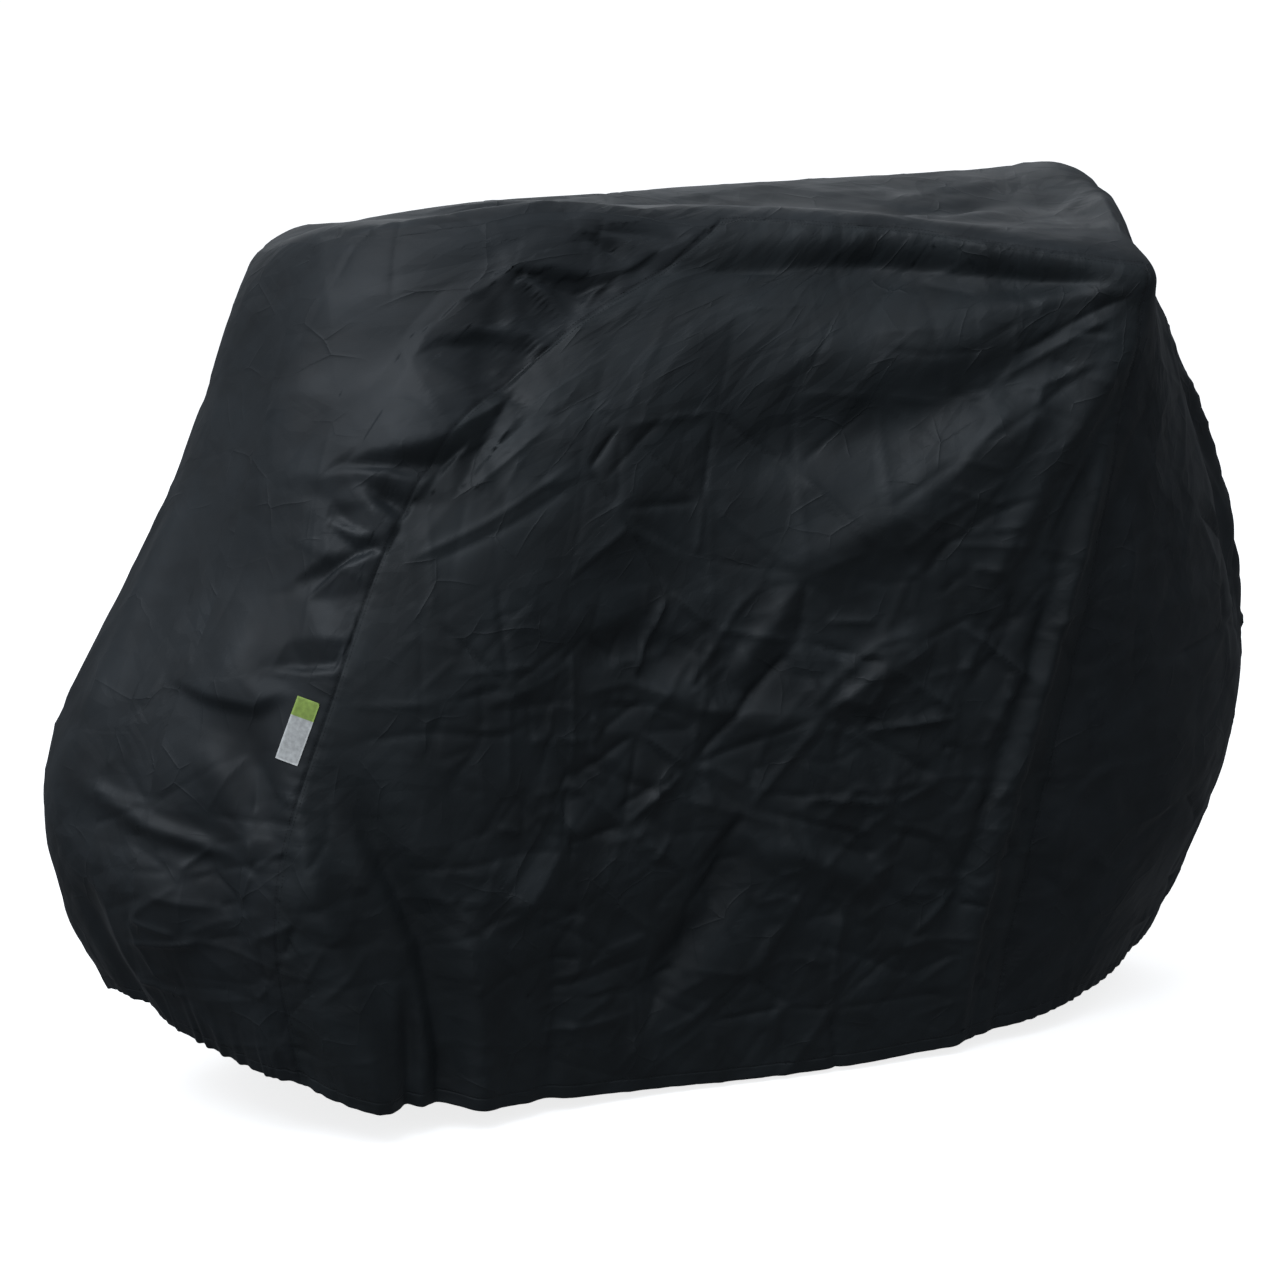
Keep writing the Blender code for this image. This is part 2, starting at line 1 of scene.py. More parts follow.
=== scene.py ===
"""A bicycle cover as it hangs over parked bicycles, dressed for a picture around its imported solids.

The cover is cut from three pieces of thin coated cloth: two side panels, and a gusset that runs up the left
end, along the top and down the right end. Each is a single thin sheet here, on the same lines and folds as
its solid, with the creases, crumples, gathers and seams that are too fine for the solid.
"""

from collections import namedtuple

import bmesh
import bpy
import numpy as np
from mathutils import Matrix, Vector
from mathutils.bvhtree import BVHTree
from mathutils.geometry import delaunay_2d_cdt
from mathutils.kdtree import KDTree


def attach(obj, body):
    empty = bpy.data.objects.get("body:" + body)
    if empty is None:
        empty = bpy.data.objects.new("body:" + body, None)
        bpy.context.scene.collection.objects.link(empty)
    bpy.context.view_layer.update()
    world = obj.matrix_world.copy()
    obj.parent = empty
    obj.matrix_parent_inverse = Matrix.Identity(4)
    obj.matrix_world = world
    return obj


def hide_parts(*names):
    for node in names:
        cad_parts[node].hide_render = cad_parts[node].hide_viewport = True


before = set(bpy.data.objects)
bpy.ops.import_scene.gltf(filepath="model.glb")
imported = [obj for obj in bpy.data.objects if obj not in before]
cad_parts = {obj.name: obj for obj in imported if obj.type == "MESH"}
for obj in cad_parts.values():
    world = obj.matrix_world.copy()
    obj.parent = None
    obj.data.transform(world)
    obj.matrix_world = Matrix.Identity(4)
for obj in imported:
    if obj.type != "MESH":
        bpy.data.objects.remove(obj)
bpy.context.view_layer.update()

Line = namedtuple("Line", "hem top x y")
Fold = namedtuple("Fold", "height left right path")
Crease = namedtuple("Crease", "height width path")
Crumple = namedtuple("Crumple", "height spacing seed zones")
Spot = namedtuple("Spot", "place reach amount")
Side = namedtuple("Side", "axes facing")
Peak = namedtuple("Peak", "place push reach")

PANELS = ("gusset", "side_panel_near", "side_panel_far")
DOWN = Vector((0, 0, -1))


def in_metres(given):
    """What is given in millimetres, in metres: a number, a row of them, or a row of rows."""
    if isinstance(given, tuple):
        return [in_metres(item) for item in given]
    return given / 1000


def from_rows(kind, **sides):
    """Each side's rows, given in millimetres, as records of that kind; the last field takes the path."""
    single = len(kind._fields) - 1
    records = {}
    for side, rows in sides.items():
        records[side] = [kind(*in_metres(row[:single]), in_metres(row[single:])) for row in rows]
    return records


# ---------------------------------------------------------------- sizes of the fine work
SMOOTH_LEVELS = 4  # subdivisions between the coarse cage and the skin
FITTING_ROUNDS = 3  # corrections that bring the skin onto the lines
# How often the points are evened out, and how far each time, before and after the folds are put in.
EVENED_BEFORE, EVENED_AFTER = (4, 0.5), (1, 0.12)
# The gusset's faces are cut finer at its smooth left front and at the right end, which are seen closest.
LEFT_FRONT_X, LEFT_FRONT_Y, LEFT_FRONT_FACING = 0.07, -0.05, -0.25
RIGHT_END_X, RIGHT_END_Y, RIGHT_END_TOP = 0.45, 0.02, 1.12
ROOF_CROWN = 0.008  # how far the middle of the top stands above its edges
ACROSS_ROOF = 3  # columns of the cage across the top
ROOF_UV, WALL_UV_END = 3.0, 2.0  # the roof's UVs lie this far from the walls', which end before this
CREASE_ROUND = 0.0012  # radius at the edge of a crease
DRAWN_FROM = 0.0021  # the skin's points slide onto a crease from up to here
DRAWN_SHARE = 0.45  # and over no more than this share of the shortest edge beside them
PLEAT_ROUNDS = 2  # how often the tight folds are smoothed
PLEATED_FROM = 0.01  # a point that faces its side less than this has none of them
CREASE_FADE = 0.22  # share of a crease's length over which each end dies away
FOLD_REACH, CREASE_REACH = 3, 5  # how many of its widths from its path a fold or a crease has died out
CREASE_WIDTH, CREASE_OUT = 0.0045, 0.018  # width and reach of the creases between the crumples' stars
CREASED_EDGE = 0.7  # how far they stand out, against the facets' height
FAINTEST = 0.25  # an edge between two stars that is fainter than this has no crease
STAR_SCATTER = 0.42  # how far a star may be from its place on the grid, against the grid's spacing
CRUMPLED_FROM = 0.03  # a point that is crumpled less than this is left smooth
SAME_PLACE = 1e-7  # corners of facets that are closer than this are one
# The hem turned up inside: how far each row of points is below the edge, and how far inside the cloth.
HEM_TURN = ((0.0012, 0.0006), (0.0018, 0.0018), (0.0010, 0.0032), (-0.008, 0.0036), (-0.020, 0.0032))
HEM_ROW = 0.019  # the row of stitches that holds it, above the edge
GATHER_PITCH, GATHER_HEIGHT, GATHER_REACH = 0.026, 0.0021, 0.050  # folds drawn up by the hem's elastic
GATHERED_FROM, GATHERED_TO = 0.30, 0.55  # how far from the middle they begin, and are full
GATHER_LEAST = 0.15  # what is left of them in the middle
FINER_HEIGHT, FINER_PITCH = 0.5, 0.6  # the finer folds between them, as shares of their height and pitch
# Uneven waves: how many of their lengths apart they change, by how much of a turn, and their least height.
WAVE_CHANGE, WAVE_TURN, WAVE_LEAST = 2.2, 1.7, 0.25
PUCKER_SEEDS, GATHER_SEEDS = (61, 62), (71, 72)
SEAM_DEPTH, SEAM_WIDTH = 0.0016, 0.0035  # the groove along a seam
PUCKER_PITCH, PUCKER_HEIGHT, PUCKER_REACH = 0.021, 0.0024, 0.014  # the ripples beside a seam
PUCKER_LEAST = 0.25  # how high they are where the seam lies easy
SEAM_SAMPLES = 4  # places on each edge of a seam from which distances are taken
SEAM_UV_END = 0.10  # distances from a seam are told apart up to here
HEM_UV_STEP = 0.01  # how much lower in its UVs each row of the turned hem is
STITCH_PITCH, STITCH_LENGTH, STITCH_WIDTH, STITCH_HEIGHT = 0.0046, 0.0032, 0.0008, 0.0005
STITCH_RINGS, STITCH_RISES = (0.0, 0.25, 0.75, 1.0), (-0.5, 1.0, 1.0, -0.5)
STITCH_ASIDE = 0.0035  # the row of stitches beside a seam

# ---------------------------------------------------------------- the tab
LABEL_SIZE, LABEL_THICK = (0.030, 0.084), 0.0008
LABEL_MIDDLE, LABEL_LEAN = (-0.623, 0.545), 23  # x and z, and its tilt in degrees
LABEL_TURN = 0.25  # how far it is turned towards the near side from the way that the cloth faces
LABEL_GRID = (13, 29)
LABEL_LIFT = (0.0012, 0.0050)  # how far it stands off at the seam, and how much farther at its free edge
LABEL_CURL, CURL_TURNS, CURL_START = 0.0016, 2.6, 0.9  # the wave along its free edge
LABEL_ENDS, LABEL_SIDES = 12, 10  # how suddenly it thins towards its ends and its sides
LABEL_CLEAR = 0.05  # from here outside, the cloth under it is looked for

# ---------------------------------------------------------------- the finishes
SIDE_COLOUR, GUSSET_COLOUR = (0.0125, 0.0170, 0.0195), (0.0125, 0.0165, 0.0195)
CLOTH_TONES, THREAD_TONES = (0.80, 1.25), (0.8, 1.3)  # the darkest and the palest, against the colour
WARP, WARPS = 0.05, 7.0  # how far the fine crumples are bent out of true, and how often in a metre
CRUMPLE_PATCHES, CRUMPLE_LEAST, CRUMPLE_MOST = 5.0, 0.2, 1.3  # patches to a metre, and how high they vary
FACETS = ((7.0, 0.050), (23.0, 0.045))  # how many to a metre, and how steep
CREASE_NET = (15.0, 0.0022, 0.0007)  # cells to a metre, and each crease's width and height
CREASE_KEPT = (-1.2, 1.0)  # how strong they are from patch to patch; below 0 there is none
SEAM_RIPPLE, RIPPLE_FADE, RIPPLES = 0.0004, 0.006, (90, 9, 1)  # height, reach, and how many to a metre
HEM_GROOVE, HEM_GROOVE_WIDTH = 0.0007, 0.0016  # where the hem's row of stitches pulls the cloth in
YARN, YARNS = 0.00002, (120, 1400, 1)  # height, and how many to a metre along and across
WORN_PATCHES, GLOSS_PATCHES = 14.0, 9.0  # how many to a metre
GLOSS_FROM, GLOSS_TO = 0.51, 0.65  # the roughness of the shiniest patches and of the dullest
TAPE_PALE, TAPE_GREEN, THREAD_COLOUR = (0.86, 0.86, 0.83), (0.46, 0.64, 0.14), (0.010, 0.012, 0.014)
TAPE_GREEN_FROM, TAPE_GREEN_BLUR = 0.017, 0.0006  # how far above the tab's middle its green end begins
TAPE_RIBS, TAPE_RIB = 320.0, 0.00006  # how many to a metre, and how high
TAPE_YARNS, TAPE_YARN = (900, 3200, 1), 0.00005
TAPE_WORN, TAPE_WORN_TONES = 160.0, (0.78, 1.04)  # patches to a metre, and their tones
THREAD_WORN, TWISTS, TWIST_DEPTH = 60.0, 2500.0, 0.0001

# ---------------------------------------------------------------- the light and the camera
# Where the sky is brightest, and how far round from there it begins to brighten and is full.
SKY_MIDDLE, SKY_FROM, SKY_TO = (-0.45, -0.15, 0.88), -0.15, 1.0
SKY_DARK, SKY_BRIGHT = 0.10, 0.52
SKY_TINT = (0.84, 0.91, 1.0, 1)
FLOOR_SIZE, FLOOR_LEVEL, FLOOR_COLOUR, FLOOR_PALE = 200, -0.004, (0.87, 0.87, 0.87), (0.86, 0.88)
FLOOR_GLOW = 0.8  # keeps the floor pale right out to the horizon
# Soft square panels of light: each one's power, place and colour.
PANEL_SIZE, PANEL_AIM = 4.0, (0, 0, 0.55)
SOFT_PANELS = {
    "sky panel": (112, (-3.0, -1.4, 5.2), (0.86, 0.92, 1.0)),
    "back panel": (45, (1.5, 4.5, 3.6), (0.92, 0.96, 1.0)),
}
VIEW_AZIMUTH, VIEW_ELEVATION = -28.0, 11.5
VIEW_DISTANCE, LENS, SENSOR = 5.5, 111.0, 36.0
VIEW_TARGET = (-0.048, 0.016, 0.563)

# The lines and folds below are measured from a point on the ground under the roof. The part's origin, the
# middle of the finished cover at its lowest hem, lies here from that point.
ORIGIN = (0.048, -0.016, -0.007)

# The heights at which the lines below are given, as shares of the way from the hem to the top edge:
# hem, knee, waist, chest, shoulder and top.
STATIONS = (0.0, 0.25, 0.50, 0.70, 0.86, 1.0)
# The rows of the cage up the walls, as the same shares.
WALL_ROWS = (0.0, 0.12, 0.29, 0.48, 0.67, 0.85, 1.0)

# Lines that run up the cover, in order round it, in millimetres: the heights of the hem and of the top
# edge, then x and y at the six stations.
LINES = {
    place: Line(*in_metres(row)) for place, row in {
        "near_left": (118, 1135, (-725, -800, -700, -600, -540, -480), (-80, -120, -100, -60, -30, 0)),
        "near_seam_left": (65, 1155, (-620, -660, -570, -460, -260, 60),
            (-220, -250, -260, -240, -200, -140)),
        "near_middle": (0, 1135, (-100, -100, -60, 20, 150, 300), (-260, -300, -300, -285, -265, -240)),
        "near_seam_right": (10, 1095, (410, 445, 495, 527, 545, 558), (-280, -320, -350, -365, -375, -370)),
        "near_right": (65, 1120, (790, 913, 914, 825, 725, 645), (-110, -130, -135, -170, -220, -200)),
        "nose_right": (85, 1155, (850, 930, 930, 867, 797, 762), (0, 0, 0, -20, -20, 0)),
        "far_right": (45, 1165, (770, 880, 880, 850, 815, 785), (120, 140, 150, 150, 150, 140)),
        "far_seam_right": (0, 1165, (500, 560, 560, 550, 540, 520), (250, 300, 310, 290, 250, 190)),
        "far_middle": (0, 1155, (30, 30, 30, 30, 30, 30), (270, 320, 320, 300, 260, 180)),
        "far_seam_left": (20, 1135, (-450, -500, -480, -420, -360, -280), (260, 310, 330, 330, 310, 230)),
        "far_left": (120, 1105, (-680, -780, -670, -540, -460, -400), (150, 200, 240, 270, 290, 280)),
        "nose_left": (155, 1105, (-775, -862, -757, -620, -535, -470), (30, 50, 100, 160, 210, 200)),
    }.items()
}
PLACES = list(LINES)
# Columns of the cage between each line of a side and the next; an end has two columns beside its nose.
COLUMNS = {
    "near_left": 3, "near_seam_left": 3, "near_middle": 2, "near_seam_right": 2,
    "far_right": 2, "far_seam_right": 2, "far_middle": 3, "far_seam_left": 3,
}

# Folds of each side, in millimetres: how far the fold stands out (less than 0 for a trough), the width of
# its left and of its right flank as one goes along it, and the points it runs through. A point is x and z
# on the near and far sides, y and z on the ends, and x and y on the roof.
FOLDS = from_rows(Fold, near=(
    # The crest where the smooth left front turns over, and the slack between it and the slanted seam.
    (26, 80, 100, (20, 1190), (-150, 1145), (-270, 1100), (-370, 1030), (-450, 940), (-520, 865),
     (-600, 780), (-660, 680)),
    (-12, 80, 45, (80, 1170), (-100, 1100), (-250, 1010), (-355, 920), (-470, 820), (-535, 730),
     (-600, 580)),
    # The cloth that is pulled from the corner over the bar's end.
    (-22, 45, 45, (540, 1030), (380, 950), (230, 890), (-80, 830)),
    (20, 45, 40, (470, 950), (300, 830), (150, 740), (0, 670)),
    (-36, 21, 60, (-140, 1080), (50, 1107), (220, 1101), (390, 1083), (620, 1045)),
    (14, 60, 50, (0, 990), (200, 985), (380, 1010)),
    (9, 18, 18, (600, 1070), (280, 1030)),
    (13, 24, 24, (580, 1050), (420, 820), (300, 580)),
    (-12, 22, 22, (570, 1000), (460, 740), (380, 420)),
    (18, 16, 48, (560, 1060), (490, 750), (420, 500), (350, 170), (330, -150)),
    (-12, 30, 24, (610, 1000), (540, 730), (460, 400), (400, -150)),
    (-10, 16, 16, (460, 720), (370, 420), (290, 120)),
    # Packing creases and crumples in the middle.
    (12, 22, 22, (-200, 575), (-30, 520), (130, 475)),
    (11, 20, 20, (-40, 540), (10, 610), (80, 690)),
    (11, 22, 22, (110, 490), (180, 560), (280, 610)),
    (-12, 30, 30, (-300, 600), (-160, 630), (-80, 570)),
    (-18, 30, 30, (-10, 370), (-60, 240), (-170, 100)),
    (12, 22, 22, (-10, 350), (100, 300), (230, 250)),
    (10, 25, 25, (-360, 260), (-280, 360), (-220, 430)),
    # Gathers that the elastic draws together at the left of the hem.
    (-16, 100, 45, (-900, 430), (-800, 405), (-700, 385), (-600, 360)),
    (-16, 24, 30, (-730, 500), (-740, 400), (-700, 260), (-625, 120), (-600, -100)),
    (32, 26, 55, (-660, 560), (-625, 360), (-570, 210), (-525, 60), (-520, -140)),
    (-26, 34, 20, (-600, 540), (-535, 390), (-475, 260), (-440, 100), (-440, -140)),
    (-14, 14, 12, (-500, 250), (-490, 120), (-485, -100)),
    (14, 30, 22, (-430, 330), (-395, 160), (-385, -100)),
    (-10, 22, 22, (-280, 280), (-280, -100)),
    # The left facet: the corner of a basket, its drag lines and the crease over the wheel.
    (12, 40, 9, (-735, 600), (-700, 580), (-660, 572), (-620, 600)),
    (-14, 24, 24, (-680, 570), (-670, 440), (-640, 320)),
    (10, 24, 24, (-720, 540), (-690, 440), (-660, 340)),
    (10, 12, 14, (-850, 470), (-790, 415), (-690, 375)),
), far=(
    (-24, 50, 45, (-450, 980), (-200, 840), (120, 720)),
    (18, 45, 45, (-450, 900), (-250, 720), (-50, 500)),
    (14, 30, 30, (-470, 950), (-380, 600), (-360, 280)),
    (-14, 30, 30, (-440, 850), (-320, 500), (-280, 200)),
    (14, 50, 50, (-100, 1000), (120, 960), (340, 990)),
    (-22, 45, 35, (500, 1100), (420, 960), (440, 780)),
    (20, 35, 35, (600, 1050), (380, 900), (160, 830)),
    (12, 26, 26, (600, 900), (400, 740), (200, 620)),
    (12, 24, 24, (-120, 560), (60, 500), (300, 530)),
    (-14, 30, 30, (20, 440), (80, 260), (200, 100)),
    (-24, 26, 24, (460, 360), (430, 160), (440, -100)),
    (16, 28, 28, (530, 400), (500, 180), (490, -100)),
    (14, 28, 28, (370, 300), (360, 120), (360, -100)),
    (-12, 26, 26, (-140, 260), (-130, -100)),
), left=(
    (10, 26, 26, (100, 850), (20, 620), (-20, 420)),
    (-12, 30, 30, (220, 900), (160, 620), (140, 350)),
    (12, 26, 26, (270, 800), (220, 550), (190, 250)),
    (-12, 22, 22, (-20, 340), (-30, 50)),
    (10, 22, 22, (60, 320), (70, 50)),
    (-12, 22, 22, (140, 300), (130, 50)),
), right=(
    (-14, 26, 26, (-240, 1020), (-170, 750), (-140, 450)),
    (12, 22, 22, (-200, 980), (-110, 720), (-90, 450)),
    (-14, 28, 28, (-100, 1020), (-40, 740), (-30, 420)),
    (10, 24, 24, (40, 1000), (50, 700), (40, 350)),
    (-12, 26, 26, (120, 960), (110, 640), (100, 300)),
    (-12, 22, 22, (-50, 300), (-50, -50)),
    (10, 22, 22, (20, 300), (20, -50)),
), roof=(
    (-8, 30, 30, (-400, 100), (-100, 20), (200, 0)),
    (8, 25, 25, (280, -140), (420, -130), (550, -80)),
    (-8, 25, 25, (300, -60), (460, -50), (620, 0)),
))
# How each side is laid out flat: the two axes that its points are given on, and the way that it faces.
SIDES = {
    "near": Side((0, 2), (0, -1, 0)),
    "far": Side((0, 2), (0, 1, 0)),
    "left": Side((1, 2), (-1, 0, 0)),
    "right": Side((1, 2), (1, 0, 0)),
    "roof": Side((0, 1), (0, 0, 1)),
}
FACES_BY = (0.10, 0.40)  # how squarely the skin faces a side where that side's folds begin, and are full
FADE = 0.30  # share of a fold's length over which each end dies away

# Where something hard under the cloth pushes it out: the place, the push and how far it reaches.
PEAKS = (
    Peak((0.562, -0.37, 1.080), (0.005, -0.016, -0.004), 0.045),  # the bar's end, near right
    Peak((-0.450, 0.27, 1.100), (-0.010, 0.016, 0.000), 0.060),  # the other bar's end, far left
    Peak((-0.660, -0.15, 0.630), (-0.012, -0.016, 0.000), 0.055),  # the basket's corner
    Peak((-0.760, -0.12, 0.300), (-0.010, -0.005, 0.000), 0.090),  # the wheel's tread, near left
)

# Where the seams are drawn tight, so that the cloth ripples beside them.
TIGHT_SEAMS = (
    Spot((-0.63, -0.25, 0.46), 0.10, 1.0),  # under the label
    Spot((-0.62, -0.24, 0.20), 0.16, 0.6),
    Spot((-0.40, -0.22, 0.88), 0.16, 0.7),
    Spot((-0.10, -0.16, 1.10), 0.14, 0.7),
    Spot((0.54, -0.37, 0.95), 0.16, 0.6),
    Spot((0.47, -0.32, 0.25), 0.20, 0.4),
    Spot((-0.40, 0.30, 0.90), 0.20, 0.6),
    Spot((0.53, 0.24, 1.00), 0.20, 0.6),
)

# Thin creases on top of the folds, in millimetres: how far each stands out (less than 0 for a furrow), how
# wide it is, and the points it runs through, laid out as for the folds.
CREASES = from_rows(Crease, near=(
    # Stress lines that leave the seam.
    (3.4, 5, (-400, 830), (-330, 875), (-260, 920)),
    (3.4, 5, (-490, 750), (-370, 800), (-230, 870)),
    (-2.6, 5, (-470, 745), (-350, 790), (-240, 840)),
    (-3.4, 5, (-390, 855), (-290, 925)),
    (-3.4, 5, (-210, 835), (-150, 880), (-100, 920)),
    (3.4, 5.6, (-280, 710), (-180, 775), (-100, 730)),
    # The star of crumples in the middle, from left to right.
    (2.6, 4.3, (-440, 610), (-300, 612)),
    (-2.6, 4.3, (-570, 530), (-470, 538), (-370, 525), (-300, 545)),
    (3, 4.3, (-400, 565), (-320, 585), (-260, 612)),
    (-2.6, 4.3, (-390, 560), (-260, 560)),
    (3.4, 5, (-260, 565), (-180, 572), (-100, 545)),
    (-3.4, 5, (-240, 545), (-150, 540), (-100, 522)),
    (3.4, 5, (-100, 530), (0, 520), (80, 508)),
    (3.8, 5, (-110, 545), (-60, 600), (-20, 655), (30, 695)),
    (3, 4.3, (-100, 545), (-30, 590)),
    (-3, 4.3, (-240, 640), (-170, 585), (-130, 555)),
    (4.7, 6.2, (70, 515), (130, 565), (180, 600), (250, 615)),
    (3, 5, (180, 600), (220, 680), (270, 735)),
    (-3.4, 5, (100, 525), (170, 490), (240, 470)),
    (3.4, 5, (100, 505), (160, 465), (210, 435)),
    (-3, 5, (-260, 485), (-200, 450), (-110, 410)),
    (2.6, 5, (-260, 490), (-200, 475), (-170, 440)),
    (3, 5, (-120, 415), (0, 375), (60, 355)),
    (-3.8, 5.6, (-10, 390), (100, 355), (190, 325)),
    (3, 5, (80, 370), (190, 330)),
    (-6.8, 8.7, (-15, 395), (-45, 300), (-100, 240)),
    (3.4, 5.6, (210, 450), (200, 380), (180, 335)),
    (3, 5, (-330, 440), (-250, 445)),
    (3, 5, (-370, 310), (-310, 400), (-280, 450)),
    (-2.6, 4.3, (-520, 360), (-420, 355), (-330, 365), (-240, 355)),
    (2.6, 4.3, (-220, 360), (-130, 375)),
    (3, 5, (-480, 345), (-410, 275), (-340, 225)),
    (-3, 5, (-340, 280), (-250, 240), (-170, 185)),
    (3.4, 5, (-300, 175), (-220, 195), (-140, 225)),
    (-3, 5, (-300, 165), (-210, 180), (-130, 200)),
    # At the lower right, from star to star and up to the corner.
    (-4, 5.6, (175, 283), (215, 240), (260, 207)),
    (3.8, 5, (165, 205), (210, 235)),
    (3.6, 5, (200, 345), (250, 335), (295, 312)),
    (-3.6, 5, (200, 335), (260, 318), (300, 300)),
    (3.4, 5, (215, 395), (270, 405), (325, 400)),
    (3.8, 5, (260, 475), (310, 560), (370, 655)),
    (-3.6, 5, (310, 515), (360, 590), (430, 675)),
    (3.4, 5, (330, 420), (370, 500), (410, 570)),
    (3.4, 5, (285, 440), (300, 520), (335, 600)),
    (-3.4, 5, (90, 190), (180, 155), (270, 110)),
    (3.4, 5, (120, 120), (160, 145), (210, 180)),
    (3.4, 5, (-310, 110), (-230, 108), (-150, 120)),
    (3, 5, (-320, 146), (-240, 150), (-180, 163)),
    (3.6, 5.6, (-130, 75), (-70, 100), (0, 146)),
    # Beyond the seam at the right.
    (4, 5.6, (440, 460), (500, 330), (490, 200)),
    (-4, 5.6, (520, 560), (545, 480), (550, 410)),
    (3.6, 5.6, (500, 345), (550, 375), (620, 385)),
    (3.6, 5.6, (560, 800), (580, 680), (570, 580)),
    (-3.6, 5.6, (600, 620), (600, 520), (630, 440)),
    (3.6, 5.6, (530, 260), (600, 220), (660, 230)),
    # From the corner over the bar's end.
    (-4.3, 5.6, (545, 1055), (470, 1020), (400, 985)),
    (4.3, 5.6, (530, 1030), (440, 985), (340, 930)),
    (-3.4, 5.6, (520, 1000), (450, 1000), (380, 975)),
    (3.8, 5.6, (500, 965), (420, 935), (370, 925)),
    (-3.8, 5.6, (480, 950), (400, 900), (310, 850)),
    (3.8, 5.6, (380, 915), (310, 850), (270, 800)),
    (3.4, 5, (500, 905), (440, 800), (400, 700)),
    (3, 5, (490, 850), (440, 770), (400, 680)),
    (-3, 5, (480, 820), (430, 720)),
    (2.6, 5, (300, 1010), (200, 1005)),
    (-2.6, 5, (360, 985), (260, 975), (190, 985)),
    (3, 5.6, (360, 810), (260, 760), (200, 710)),
    (-3, 5.6, (420, 790), (330, 760), (220, 690)),
    # Long packing creases, nearly upright.
    (1.3, 4.3, (-40, 930), (-55, 620), (-70, 350)),
    (-1.3, 4.3, (-270, 600), (-280, 300), (-280, 50)),
    (-1.3, 4.3, (-470, 700), (-475, 600), (-480, 520)),
    (1.3, 4.3, (240, 950), (235, 700), (220, 400), (200, 100)),
), far=(
    # From the top edge at the right, and from the other bar's end at the left.
    (3.8, 5.6, (500, 1100), (400, 1000), (280, 930)),
    (-3.8, 5.6, (510, 1050), (430, 930), (360, 800)),
    (3.4, 5, (520, 1000), (470, 840), (440, 660)),
    (-3.4, 5.6, (-380, 1020), (-240, 920), (-80, 860)),
    (3.4, 5, (-440, 940), (-340, 800), (-200, 680)),
    (-3, 5, (-460, 840), (-400, 660), (-330, 500)),
    (3, 5, (-300, 1000), (-120, 940), (40, 950)),
    # The star of crumples in the middle.
    (3.4, 5, (50, 520), (130, 580), (240, 610)),
    (-3.4, 5, (50, 520), (160, 500), (260, 460)),
    (3, 5, (40, 520), (30, 620), (70, 720)),
    (-3, 5, (40, 520), (-60, 570), (-190, 580)),
    (3.4, 5, (40, 510), (-60, 440), (-140, 400)),
    (-2.6, 5, (-300, 360), (-180, 380), (-50, 350)),
    (2.6, 5, (220, 340), (330, 350), (440, 310)),
    (2.6, 5, (-380, 200), (-270, 240), (-160, 220)),
    (-3, 5, (100, 260), (200, 200), (310, 180)),
    # Packing creases, upright and level.
    (1.3, 4.3, (220, 950), (220, 600), (210, 200)),
    (-1.3, 4.3, (-140, 950), (-140, 550), (-130, 150)),
    (-1.5, 4.3, (-400, 640), (0, 640), (450, 630)),
), left=(
    (3, 5, (200, 950), (140, 800), (110, 660)),
    (-3, 5, (260, 900), (230, 740), (190, 600)),
    (2.6, 5, (20, 720), (80, 620), (100, 500)),
    (-2.6, 5, (-80, 560), (20, 520), (130, 530)),
    (3, 5, (160, 480), (130, 380), (90, 280)),
    (-2.6, 5, (0, 440), (-30, 340), (-50, 250)),
), right=(
    # A fan from the pointed corner.
    (3.4, 5, (-300, 1020), (-220, 900), (-170, 760)),
    (-3.4, 5, (-280, 1020), (-180, 920), (-100, 800)),
    (3, 5, (-270, 1030), (-140, 960), (-40, 880)),
    (3, 5, (-20, 840), (40, 720), (50, 600)),
    (-3, 5, (120, 900), (80, 780), (90, 660)),
    (2.6, 5, (-120, 620), (-30, 580), (80, 600)),
    (-2.6, 5, (-100, 480), (0, 440), (100, 450)),
    (3, 5, (-80, 380), (-40, 280), (-40, 180)),
    (-2.6, 5, (60, 360), (50, 260), (60, 160)),
), roof=(
    # Where the roof is drawn to the pointed corner, and over what stands under it.
    (-4.3, 7.4, (290, -222), (406, -126), (561, 12)),
    (3.4, 5.6, (412, -281), (525, -233), (600, -236)),
    (-2.6, 5, (-471, 14), (-448, -35), (-419, -64)),
    (3, 5, (-264, -100), (-169, -88), (-50, -89)),
    (3.4, 5.6, (370, -14), (503, 41), (622, 67)),
    (3, 5, (590, -125), (640, -85), (683, -60)),
    (-2.6, 5, (-300, 160), (-80, 120), (120, 140)),
    (2.6, 5, (50, 60), (220, 90), (400, 150)),
))

